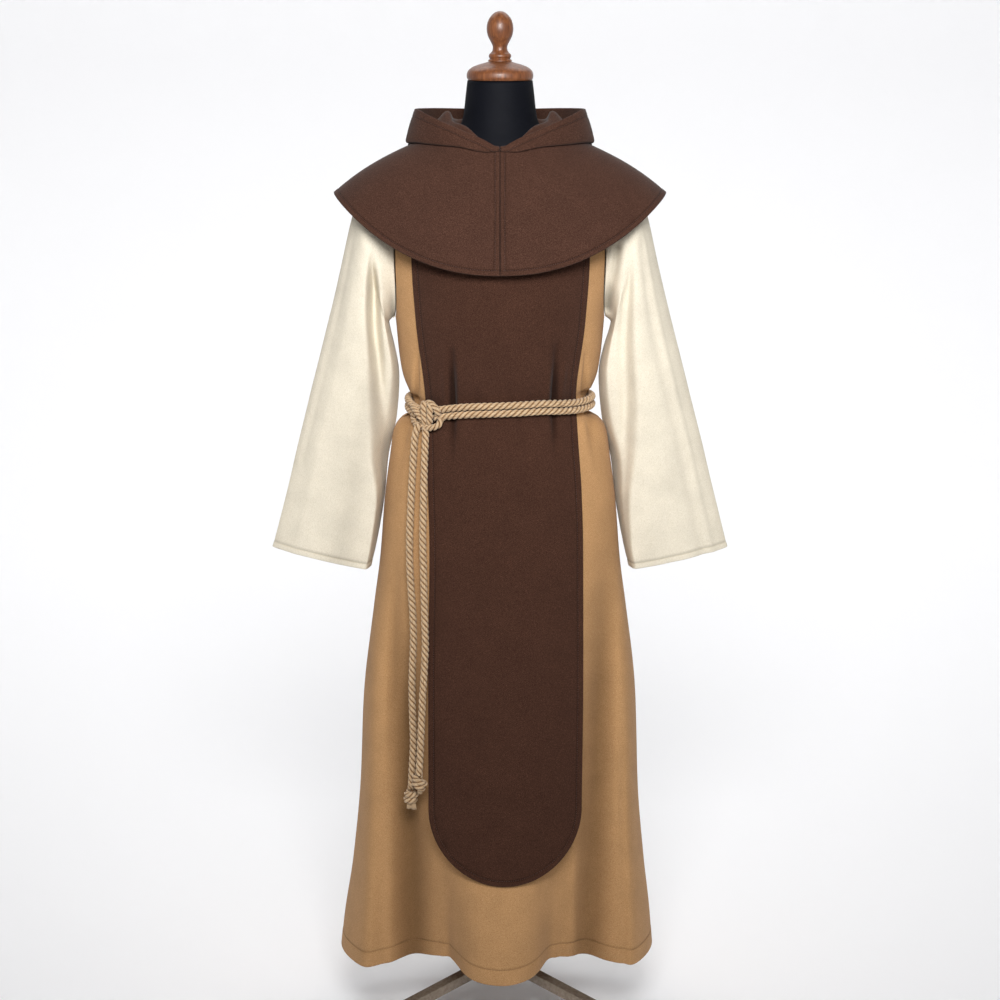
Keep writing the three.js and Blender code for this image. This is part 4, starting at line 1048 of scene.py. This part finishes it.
def hood_section(angle):
    turn = math.radians(angle)
    outward = np.array([math.sin(turn), -math.cos(turn), 0.0])
    bag = float(smoothstep(100, 165, angle))
    base = 0.02 + 0.31 * min(angle / 90, 1) + 0.53 * bag
    grown = float(smoothstep(0, 30, angle))
    neck_z = float(neckline_height(angle, 0)) + 0.6
    seam = outline_point(FORM_ROWS, angle, neck_z) + outline_normal(FORM_ROWS, angle, neck_z) * CAPE_LIFT
    swell = bell(angle, HOOD_PEAK["angle"], HOOD_PEAK["spread"])
    rise = (HOOD_PEAK["least"] + HOOD_PEAK["height"] * swell) * grown
    peak = seam + outward * (3 + 6.6 * grown) + [0, 0, 3 + rise]

    def on_cape(share, lift):
        return cape_point(angle, base * share) + cape_normal(angle, base * share) * (HOOD_REST + lift)

    hollow = on_cape(0.55, 1 + 3 * grown)
    lying = on_cape(0.86, 0.0)
    foot = on_cape(1.02, 3 + 2 * grown)
    depth = 90 if math.cos(turn) > 0 else 106
    rim_z = float(curve_through(HOOD_RIM_HEIGHTS, 1, np.array(float(angle))))
    rim = np.array([145 * math.sin(turn), -depth * math.cos(turn), rim_z])
    bulge = 2 + 0.5 * min(angle / 90, 1) + 23.5 * bag
    wall = [foot + (rim - foot) * s + outward * bulge * math.sin(math.pi * s**0.8) for s in (0.28, 0.62, 1.0)]
    return smooth_line([seam, peak, hollow, lying, foot, *wall], 2.0)


HOOD_ANGLES = np.concatenate([
    [0.5, 1.1, 1.9, 2.9, 4, 5.5, 7.2, 9.2, 11.5], np.linspace(14, 176, 80), [177.5, 178.6, 179.4, 180],
])
HOOD_SHARES = spaced(0, 1, 1 / 64, (), (0, 0.01, 0.03))
HOOD_STITCH = 12


def hood_line(angle):
    line = hood_section(angle)
    along = distances(line)
    return sampled(line, along, HOOD_SHARES * along[-1])


def hood_half(name, side, node):
    grid = np.stack([hood_line(angle) for angle in HOOD_ANGLES], axis=1)
    normals = level_edges(grid_normals(grid), 0)
    mirror = np.array([side, 1, 1])
    grid[:, -1, 0] = SEAM_GAP / 2
    from_rim = np.linalg.norm(grid - grid[-1:], axis=2)
    from_seam = np.abs(grid[..., 0]) + 100 * (grid[..., 1] < 0)
    relief = edge_relief(from_rim, HOOD_STITCH, 0.4, 0.8) - bell(from_seam, 0, 2)
    piece = wall_of_cloth(
        name, grid * mirror, normals * mirror, [node], relief, rolls=(0.3, 0.9, 0.6, 0.0)
    )
    return piece, (grid * mirror, normals * mirror)


hood_left, hood_left_grid = hood_half("hood_left_cloth", -1, "hood_left")
hood_right, hood_right_grid = hood_half("hood_right_cloth", 1, "hood_right")

# %% [markdown]
# ## Belt
# The rope goes twice round the waist, one turn above the other, and dips towards its knot. It lies on the
# scapular, so its line is the waist's ellipse, moved out by half its own thickness.

# %% Belt
WAIST_HALF = 151.5 + SEAT_GAP + CLOTH
WAIST_FRONT = 108 + SEAT_GAP + CLOTH
WAIST_BACK = 104 + SEAT_GAP + CLOTH
ROPE_RADIUS = 6.5


def belt_line(rise):
    angle = np.linspace(-44.5, -56.5 + 360, 240)
    turn = np.radians(angle)
    depth = front_or_back(angle, WAIST_FRONT, WAIST_BACK)
    level = unit(np.stack([np.sin(turn) / WAIST_HALF, -np.cos(turn) / depth, 0 * turn], axis=-1))
    point = np.stack([WAIST_HALF * np.sin(turn), -depth * np.cos(turn), 0 * turn], axis=-1)
    point = point + level * (SEAT_GAP + 0.2 + ROPE_RADIUS)
    sag = belt_dip(angle) + 7 * smoothstep(60, 150, point[:, 0])
    point[:, 2] = BELT_HEIGHT + 0.03 * point[:, 0] - sag + rise
    return even_line(to_scene(point), 0.0025)


belt_upper, belt_lower = [
    rope_piece(f"belt_{name}_rope", belt_line(rise), ROPE_DIAMETER / 2, ROPE_LAY, [f"belt_turn_{name}"], turn)
    for name, rise, turn in (("upper", 6.65, 0.4), ("lower", -6.65, 2.0))
]

# %% [markdown]
# ## Belt knot
# The two ends cross over the belt, go behind it and come out below. What shows is four short runs of rope:
# two wraps that come over the belt and tuck under it, one that crosses below them and turns up on the
# right, and the loop at the top. Each is a rope whose ends go in behind the belt.

# %% Belt knot
KNOT_OUT = 13.6
KNOT_STRAND_RADIUS = 0.0058
KNOT_STRAND_LAY = 0.027

# Each strand of the knot: x, z in the front view, and how far out of the belt's front
KNOT_STRANDS = [
    [(-131, 1138, -9), (-131, 1141, 0), (-131, 1135, 6), (-130, 1122, 8), (-129, 1110, 6), (-130, 1101, -5)],
    [(-119, 1138, -9), (-119.5, 1141, 0), (-120, 1135, 6.5), (-120, 1122, 8.5), (-120.5, 1110, 6),
     (-121, 1102, -5)],
    [(-150, 1116, -8), (-148, 1107, 0), (-141, 1103, 6), (-127, 1101.5, 10), (-114, 1104, 9), (-105, 1109, 5),
     (-102, 1117, -2), (-104, 1124, -9)],
    [(-124, 1143, -6), (-117, 1143, 2), (-110, 1137, 5), (-106, 1130, 2), (-107, 1123, -8)],
    [(-151, 1134, -6), (-147, 1128, 3), (-140, 1121, 6), (-134, 1114, 4), (-130, 1108, -6)],
]


def knot_line(strand):
    x, z, out = np.array(strand, float).T
    front = (WAIST_FRONT + KNOT_OUT) * np.sqrt(np.clip(1 - (x / (WAIST_HALF + KNOT_OUT)) ** 2, 0.05, None))
    return smooth_line(to_scene(np.stack([x, 1.0 - front - out, z], axis=1)), 0.0018)


knot_pieces = []
for number, strand in enumerate(KNOT_STRANDS, 1):
    line = knot_line(strand)
    replaced = ["belt_knot"] if number == 1 else []
    knot_pieces.append(rope_piece(
        f"belt_knot_strand_{number}", line, KNOT_STRAND_RADIUS, KNOT_STRAND_LAY, replaced, number * 0.9
    ))

# %% [markdown]
# ## Dress form, neck cap and finial
# The form is a padded shell covered in navy jersey. The cap and the finial are turned on a lathe, so each
# is a profile of radius against height, smoothed and spun round the axis.

# %% Dress form
form_heights = np.concatenate([
    [880, 882, 885, 889, 894, 900], np.arange(910, 1560, 20), np.arange(1560, 1684, 5), [1684.7],
])
form_angles = np.linspace(0, 360, 96, endpoint=False)
form_rings = to_scene(outline_point(FORM_ROWS, form_angles[None], form_heights[:, None]))
form_body = closed_rings("form_body", form_rings, ["form_torso"])

# %% Neck cap and finial
CAP_PROFILE = [
    (0.5, 1685), (30, 1685), (52, 1685.2), (55.2, 1687.3), (56.4, 1690), (56.5, 1693), (56, 1697),
    (53.4, 1702),
    (46.5, 1707.3), (36, 1711.4), (26, 1714.2), (21, 1715.6), (19.5, 1716.0), (8, 1716.1), (0.5, 1716.1),
]
FINIAL_PROFILE = [
    (0.5, 1716.3), (19, 1716.4), (20, 1717.4), (19.6, 1719), (17.4, 1720.6), (17.6, 1721.8), (18.8, 1723.8),
    (18.9, 1726.4), (17.8, 1728.8), (15.2, 1731.2), (12.9, 1734.8), (12.2, 1738.8), (12.6, 1742.4),
    (14.4, 1746.6),
    (17.6, 1752.4), (20.6, 1759), (22.3, 1766.4), (22.5, 1773), (21.4, 1780), (18.6, 1787), (14.2, 1792.8),
    (9.4, 1797), (4.4, 1799.3), (0.5, 1799.8),
]


def lathe(name, profile, node, centre=(0.0, 0.0), sides=64, start=0.0):
    turns = np.linspace(0, math.tau, sides, endpoint=False) + start
    radius, height = np.asarray(profile, float).T[:, :, None]
    rings = [centre[0] + radius * np.cos(turns), centre[1] + radius * np.sin(turns), height + 0 * turns]
    return closed_rings(name, to_scene(np.stack(rings, axis=-1)), [node])


def turned_piece(name, profile, node):
    line = smooth_line([(r, z, 0.0) for r, z in profile], 0.8)
    return lathe(name, line[:, :2], node, sides=96)


neck_cap = turned_piece("neck_cap_wood", CAP_PROFILE, "neck_cap")
finial = turned_piece("finial_wood", FINIAL_PROFILE, "finial")

# %% [markdown]
# ## Stand
# The legs are painted bars with rounded edges. Each is its side outline, given a width, and its edges are
# rounded with a bevel, so the light draws a line along them.

# %% Stand
LEG = {
    "start": 36.3, "reach": 292, "axis": 86, "slope": 0.267, "half": 9.5, "seat": 6.3, "width": 22, "cut": 4,
}


def leg_outline():
    start, reach, half, seat, cut = LEG["start"], LEG["reach"], LEG["half"], LEG["seat"], LEG["cut"]

    def axis(at):
        return LEG["axis"] - LEG["slope"] * at

    return [
        (start, axis(start) - half), ((LEG["axis"] - half - seat) / LEG["slope"], seat), (reach - cut, seat),
        (reach, seat + cut), (reach, axis(reach) + half - cut), (reach - cut, axis(reach - cut) + half),
        (start, axis(start) + half),
    ]


def leg(name, angle, node):
    outline = leg_outline()
    turn = math.radians(angle)
    outward = np.array([math.sin(turn), -math.cos(turn), 0.0])
    sideways = np.array([math.cos(turn), math.sin(turn), 0.0])
    points = []
    for side in (-LEG["width"] / 2, LEG["width"] / 2):
        points += [outward * r + sideways * side + [0, 0, z] for r, z in outline]
    count = len(outline)
    faces = [tuple(range(count)), tuple(range(count, 2 * count))[::-1]]
    faces += [(j, (j + 1) % count, (j + 1) % count + count, j + count) for j in range(count)]
    piece = make_piece(name, to_scene(points), faces, [node])
    bevel = piece.modifiers.new("rounded edges", "BEVEL")
    bevel.width = 0.003
    bevel.segments = 3
    bevel.limit_method = "ANGLE"
    bevel.angle_limit = math.radians(30)
    weighted = piece.modifiers.new("flat faces", "WEIGHTED_NORMAL")
    weighted.keep_sharp = False
    return piece


legs = [leg(f"leg_bar_{n}", angle, f"leg_{n}") for n, angle in enumerate((-60, 60, 180), 1)]

# %% [markdown]
# ## Stitches
# Every edge and seam is held by a line of stitches. Each stitch is a short thread that rises out of the
# cloth and goes back in, so a line is many small arched threads, evenly spaced along a line on the cloth.

# %% Stitches
STITCH_PITCH = 4.0
STITCH_RADIUS = 0.33
STITCH_SIDES = 5
STITCH_PLACES = np.array([0, 0.6, 1.5, 2.4, 3.0])
STITCH_ARCH = np.array([-0.5, -0.1, 0.25, -0.1, -0.5])


def inset_line(grids, distance, from_last=False, by_rows=True):
    face, ways = [part if by_rows else np.swapaxes(part, 0, 1) for part in grids]
    if from_last:
        face, ways = face[::-1], ways[::-1]
    points, directions = [], []
    for j in range(face.shape[1]):
        along = distances(face[:, j])
        points.append(sampled(face[:, j], along, distance))
        directions.append(sampled(ways[:, j], along, distance))
    return np.array(points), unit(np.array(directions))


def stitch_piece(name, lines):
    points, faces = [], []
    turns = np.arange(STITCH_SIDES) * math.tau / STITCH_SIDES
    for line, ways in lines:
        along = distances(line)
        for start in np.arange(STITCH_PITCH, along[-1] - STITCH_PITCH, STITCH_PITCH):
            way = unit(sampled(ways, along, start))
            spine = sampled(line, along, start + STITCH_PLACES) + way * STITCH_ARCH[:, None]
            side = np.cross(unit(spine[-1] - spine[0]), way)
            ring = len(points) + 1
            last = ring + 3 * STITCH_SIDES
            points.append(spine[0])
            for place in spine[1:-1]:
                points += [place + STITCH_RADIUS * (side * math.cos(t) + way * math.sin(t)) for t in turns]
            points.append(spine[-1])
            faces += ring_faces(3, STITCH_SIDES, ring)
            for j in range(STITCH_SIDES):
                k = (j + 1) % STITCH_SIDES
                faces.append((ring - 1, ring + k, ring + j))
                faces.append((last - STITCH_SIDES + j, last - STITCH_SIDES + k, last))
    return make_piece(name, to_scene(points), faces, ())


def scapular_stitch_line(back):
    inset = SCAPULAR_STITCH
    low = SCAPULAR_EDGE[0, 0]
    heights = np.arange(low, SCAPULAR_LEVEL_TOP, 6.0)
    edges = scapular_edges(heights)
    left = np.stack([edges[0] + inset, heights], axis=1)[::-1]
    right = np.stack([edges[1] - inset, heights], axis=1)
    middle, half = edges[2][0], edges[3][0] - inset
    turn = np.radians(np.linspace(-87, 87, 60))
    end = np.stack([middle + half * np.sin(turn), low - (SCAPULAR_END_RISE - inset) * np.cos(turn)], axis=1)
    x, z = np.concatenate([left, end, right]).T
    angle = scapular_angle(x, z)
    angle = 180 - angle if back else angle
    ways = across_cloth(angle, z)
    return scapular_point(angle, z) - 0.2 * ways, ways


hems = [inset_line(grids, HEM_STITCH) for grids in (robe_front_grid, robe_back_grid)]
robe_thread = stitch_piece("robe_stitches", hems)
cuffs = [inset_line(grids, CUFF_STITCH, True) for grids in (sleeve_left_grid, sleeve_right_grid)]
cuffs = [(np.vstack([line, line[:1]]), np.vstack([ways, ways[:1]])) for line, ways in cuffs]
sleeve_thread = stitch_piece("sleeve_stitches", cuffs)
brown_lines = [scapular_stitch_line(False), scapular_stitch_line(True)]
for grids in (cape_left_grid, cape_right_grid):
    brown_lines.append(inset_line(grids, CAPE_HEM_STITCH, True))
    brown_lines.append(inset_line(grids, CAPE_SEAM_STITCH, False, False))
for grids in (hood_left_grid, hood_right_grid):
    brown_lines.append(inset_line(grids, HOOD_STITCH, True))
brown_thread = stitch_piece("brown_stitches", brown_lines)

# %% [markdown]
# ## Materials
# Wool is spun from fibres dyed in slightly different shades, so the cloth is heathered: fine flecks over a
# base colour, a twill line that runs diagonally, and a soft nap that catches the light at grazing angles.
# Colours come from noise at the size of the fibres, the weave goes into the bump, and sheen gives the nap.
# The wool's colour is also darkened where each cloth piece keeps painted shade, in its folds, creases and
# stitch grooves.

# %% Colours


def shade(red, green, blue):
    values = np.array([red, green, blue]) / 255
    linear = np.where(values <= 0.04045, values / 12.92, ((values + 0.055) / 1.055) ** 2.4)
    return (*linear.tolist(), 1.0)


def start_material(name, roughness):
    material = bpy.data.materials.new(name)
    material.use_nodes = True
    shader = material.node_tree.nodes["Principled BSDF"]
    shader.inputs["Roughness"].default_value = roughness
    return material, material.node_tree, shader


def node(tree, kind, values=None, links=None, **settings):
    made = tree.nodes.new("ShaderNode" + kind)
    for setting, value in settings.items():
        setattr(made, setting, value)
    for socket, value in (values or {}).items():
        made.inputs[socket].default_value = value
    for socket, source in (links or {}).items():
        tree.links.new(source, made.inputs[socket])
    return made


def object_place(tree):
    return node(tree, "TexCoord").outputs["Object"]


def stretched(tree, vector, scale, turn=(0, 0, 0)):
    return node(tree, "Mapping", {"Scale": scale, "Rotation": turn}, {"Vector": vector}).outputs["Vector"]


def noise(tree, vector, scale, detail, roughness=0.5):
    values = {"Scale": scale, "Detail": detail, "Roughness": roughness}
    return node(tree, "TexNoise", values, {"Vector": vector}).outputs["Fac"]


def kept_number(tree, name):
    return node(tree, "Attribute", attribute_name=name).outputs["Fac"]


def multiplied(tree, first, second):
    links = {6: first, 7: second}
    return node(tree, "Mix", {"Factor": 1.0}, links, data_type="RGBA", blend_type="MULTIPLY").outputs[2]


def ramp(tree, factor, stops):
    made = node(tree, "ValToRGB", {}, {"Fac": factor})
    elements = made.color_ramp.elements
    for place, colour in stops[1:-1]:
        elements.new(place)
    for element, (place, colour) in zip(sorted(elements, key=lambda e: e.position), stops):
        element.position = place
        element.color = colour
    return made.outputs["Color"]


def bumped(tree, shader, height, strength, distance):
    bump = node(tree, "Bump", {"Strength": strength, "Distance": distance}, {"Height": height})
    tree.links.new(bump.outputs["Normal"], shader.inputs["Normal"])


# %% Wool
WHITE = (1.0, 1.0, 1.0, 1.0)


def wool(name, dark, middle, light, fleck_scale=850, sheen=0.06):
    material, tree, shader = start_material(name, 0.92)
    place = object_place(tree)
    fibres = noise(tree, stretched(tree, place, (1.0, 1.0, 0.55)), fleck_scale, 3, 0.65)
    colour = ramp(tree, fibres, [(0.30, dark), (0.50, middle), (0.72, light)])
    patch = ramp(tree, noise(tree, place, 22, 3), [(0.3, (0.895, 0.895, 0.895, 1)), (0.7, WHITE)])
    # painted shade: the base colour goes down to about four tenths where the cloth keeps painted shade
    painted_shade_tone = ramp(tree, kept_number(tree, "painted_shade"), [(0.0, WHITE), (0.9, (0.42, 0.40, 0.38, 1))])
    tree.links.new(multiplied(tree, multiplied(tree, colour, patch), painted_shade_tone), shader.inputs["Base Color"])
    wave = node(
        tree, "TexWave", {"Scale": 150, "Distortion": 2.5, "Detail": 2, "Detail Scale": 3},
        {"Vector": stretched(tree, place, (1, 1, 1), (0, math.radians(35), 0))},
    )
    height = node(tree, "Mix", {"Factor": 0.5}, {"A": fibres, "B": wave.outputs["Fac"]})
    bumped(tree, shader, height.outputs[0], 0.55, 0.0006)
    shader.inputs["Sheen Weight"].default_value = sheen
    shader.inputs["Sheen Roughness"].default_value = 0.5
    shader.inputs["Specular IOR Level"].default_value = 0.08
    return material


tan_wool = wool("tan wool", shade(157, 117, 76), shade(181, 139, 95), shade(200, 161, 117), 1100)
cream_wool = wool("cream wool", shade(208, 198, 176), shade(222, 213, 194), shade(232, 224, 207), sheen=0.05)
brown_wool = wool("brown wool", shade(46, 29, 21), shade(64, 41, 32), shade(92, 65, 52), 1000)
dark_brown_wool = wool("dark brown wool", shade(44, 27, 19), shade(62, 39, 29), shade(86, 58, 45), 1000)

# %% [markdown]
# The rope's yarns run almost straight along it, while its strands turn. The lay kept on the mesh gives a
# direction that follows the yarns, so a noise stretched along it makes their fibres.

# %% Rope fibre


def rope_fibre():
    material, tree, shader = start_material("rope fibre", 0.85)
    lay = node(tree, "UVMap", uv_map="lay").outputs["UV"]
    yarns = noise(tree, stretched(tree, lay, (34, 1.2, 1)), 1.0, 3, 0.6)
    colour = ramp(tree, yarns, [
        (0.28, shade(140, 110, 80)), (0.5, shade(188, 160, 126)), (0.75, shade(212, 188, 156)),
    ])
    shadow = ramp(tree, kept_number(tree, "strand_height"), [
        (0.0, shade(150, 128, 104)), (0.3, shade(222, 210, 194)), (0.75, shade(255, 255, 255)),
    ])
    tree.links.new(multiplied(tree, colour, shadow), shader.inputs["Base Color"])
    bumped(tree, shader, yarns, 0.8, 0.0007)
    shader.inputs["Sheen Weight"].default_value = 0.2
    shader.inputs["Specular IOR Level"].default_value = 0.2
    return material


# %% [markdown]
# Thread, jersey, wood, paint and rubber are each a fine noise in two or three shades of one colour. The
# noise is stretched along the grain of the wood and the columns of the knit.

# %% Thread, jersey, wood, metal and rubber


def speckled(name, roughness, stops, scale, detail, grain=0.5, stretch=1.0, relief=None, shine=None):
    material, tree, shader = start_material(name, roughness)
    specks = noise(tree, stretched(tree, object_place(tree), (1, 1, stretch)), scale, detail, grain)
    tree.links.new(ramp(tree, specks, stops), shader.inputs["Base Color"])
    if relief:
        bumped(tree, shader, specks, *relief)
    for socket, value in (shine or {}).items():
        shader.inputs[socket].default_value = value
    return material


def thread(name, colour):
    darker = tuple(c * 0.7 for c in colour[:3]) + (1.0,)
    return speckled(name, 0.6, [(0.35, darker), (0.65, colour)], 1500, 2)


tan_thread = thread("tan thread", shade(150, 112, 70))
cream_thread = thread("cream thread", shade(226, 212, 180))
brown_thread_finish = thread("brown thread", shade(66, 42, 33))
rope_finish = rope_fibre()
jersey = speckled(
    "navy jersey", 0.7, [(0.35, shade(3, 4, 9)), (0.65, shade(9, 11, 19))], 1400, 2, stretch=0.6,
    relief=(0.3, 0.0003), shine={"Specular IOR Level": 0.12},
)
wood = speckled(
    "turned wood", 0.42, [(0.25, shade(72, 38, 19)), (0.5, shade(108, 62, 32)), (0.75, shade(136, 84, 47))],
    260, 5, 0.6, stretch=0.12, shine={"Coat Weight": 0.07, "Coat Roughness": 0.08},
)
metal = speckled(
    "dark painted metal", 0.25, [(0.3, shade(128, 114, 100)), (0.7, shade(160, 146, 130))], 180, 4,
    shine={"Metallic": 0.45},
)
rubber = speckled("black rubber", 0.8, [(0.3, shade(20, 19, 18)), (0.7, shade(34, 32, 31))], 600, 2)

# %% Materials on the pieces


def give(finish, *pieces):
    for piece in pieces:
        piece.data.materials.clear()
        piece.data.materials.append(finish)


give(tan_wool, robe_front, robe_back)
give(cream_wool, sleeve_left, sleeve_right)
give(brown_wool, cape_left, cape_right, hood_left, hood_right)
give(dark_brown_wool, scapular_front, scapular_back)
give(tan_thread, robe_thread)
give(cream_thread, sleeve_thread)
give(brown_thread_finish, brown_thread)
give(rope_finish, tail_left_rope, tail_right_rope, knot_left_rope, knot_right_rope, tip_left, tip_right)
give(rope_finish, belt_upper, belt_lower, *knot_pieces)
give(jersey, form_body)
give(wood, neck_cap, finial)
give(metal, *legs)

# %% [markdown]
# The pole, its hub and the small feet need no more shape than a lathe and a rounded edge give them. The
# feet and the pole are nearly out of sight, so they are made plainly, with the same paint and rubber. The
# hub is a lathe's shape with six sides, kept flat.

# %% Pole, hub and feet
POLE_PROFILE = [(15.2, 112.3), (16, 113), (16, 879), (15.2, 879.7)]
HUB_RADIUS = 36 / math.cos(math.pi / 6)
HUB_STEPS = [(1.6, 62), (0.4, 62.5), (0, 64), (0, 110), (0.4, 111.5), (1.6, 112)]
FOOT_PROFILE = [(0.5, 0), (14, 0), (14.8, 0.3), (15, 1), (15, 5), (14.7, 5.7), (14, 6), (0.5, 6)]
pole = lathe("pole_tube", POLE_PROFILE, "pole", start=math.pi / 64)
hub_profile = [(HUB_RADIUS - inset, z) for inset, z in HUB_STEPS]
hub = lathe("hub_block", hub_profile, "hub", sides=6)
hub.data.polygons.foreach_set("use_smooth", [False] * len(hub.data.polygons))
give(metal, pole, hub)
for n, angle in enumerate((-60, 60, 180), 1):
    turn = math.radians(angle)
    centre = (274 * math.sin(turn), -274 * math.cos(turn))
    foot = lathe(f"foot_pad_{n}", FOOT_PROFILE, f"foot_{n}", centre, 48, math.pi / 48)
    give(rubber, foot)

# %% [markdown]
# ## What each cloth piece is cut from
# The area of one side of each cloth piece is printed.

# %% Cloth areas
for piece in (
    robe_front, robe_back, sleeve_left, sleeve_right, scapular_front, scapular_back, cape_left, cape_right,
    hood_left, hood_right,
):
    both_sides = sum(polygon.area for polygon in piece.data.polygons)
    print(piece.name, "one-sided area", round(both_sides / 2, 3))

# %% [markdown]
# ## Room and light
# The form stands on a pale floor that curves up into a low wall all round, as in a photographer's cove, so
# there is a plain ground behind it from every side. One large soft light in front is the main one, a weaker
# one from the right opens the shadows, and a wide panel high up behind the form brightens the floor and the
# wall.

# %% Cove
COVE_RADIUS = 6.5
COVE_BEND = 1.6
COVE_HEIGHT = 5.5
COVE_SIDES = 96


def cove(name):
    flat = COVE_RADIUS - COVE_BEND
    bend = np.linspace(0.08, math.pi / 2, 20)
    curve = [(flat + COVE_BEND * math.sin(t), COVE_BEND - COVE_BEND * math.cos(t)) for t in bend]
    profile = [(0.05, 0.0), (flat, 0.0), *curve, (COVE_RADIUS, COVE_HEIGHT)]
    turn = np.linspace(0, math.tau, COVE_SIDES, endpoint=False)
    points = [(r * math.cos(a), FORM_Y + r * math.sin(a), z) for r, z in profile for a in turn]
    walls = [face[::-1] for face in ring_faces(len(profile), COVE_SIDES)]
    mesh = bpy.data.meshes.new(name)
    mesh.from_pydata(points, [], [tuple(range(COVE_SIDES)), *walls])
    mesh.polygons.foreach_set("use_smooth", [True] * len(mesh.polygons))
    ground = bpy.data.objects.new(name, mesh)
    bpy.context.collection.objects.link(ground)
    return ground


floor = cove("cove_floor")
floor_finish, _, floor_shader = start_material("pale floor", 0.9)
floor_shader.inputs["Base Color"].default_value = (0.92, 0.92, 0.93, 1)
give(floor_finish, floor)

# %% Lights


def soft_light(name, place, size, power, target):
    light = bpy.data.lights.new(name, "AREA")
    light.shape = "RECTANGLE"
    light.size, light.size_y = size
    light.energy = power
    lamp = bpy.data.objects.new(name, light)
    lamp.location = place
    lamp.rotation_euler = pointing(place, target)
    bpy.context.collection.objects.link(lamp)
    return lamp


key_light = soft_light("key_light", (0.02, FORM_Y - 2.7, 2.5), (1.1, 0.8), 21.8, (0.0, FORM_Y, 1.5))
key_light.data.spread = math.radians(76)
fill_light = soft_light("fill_light", (0.9, FORM_Y - 2.9, 2.3), (1.2, 1.2), 9, (0.0, FORM_Y, 1.3))
back_light = soft_light("back_light", (0.0, FORM_Y + 3.2, 5.3), (7.0, 4.5), 250, (0.0, FORM_Y + 4.4, 0.0))
world = bpy.data.worlds.new("studio")
world.use_nodes = True
world.node_tree.nodes["Background"].inputs["Color"].default_value = (1.0, 1.0, 1.0, 1)
world.node_tree.nodes["Background"].inputs["Strength"].default_value = 0.08
bpy.context.scene.world = world
bpy.context.scene.view_settings.view_transform = "Standard"
print("lights:", key_light.name, fill_light.name, back_light.name)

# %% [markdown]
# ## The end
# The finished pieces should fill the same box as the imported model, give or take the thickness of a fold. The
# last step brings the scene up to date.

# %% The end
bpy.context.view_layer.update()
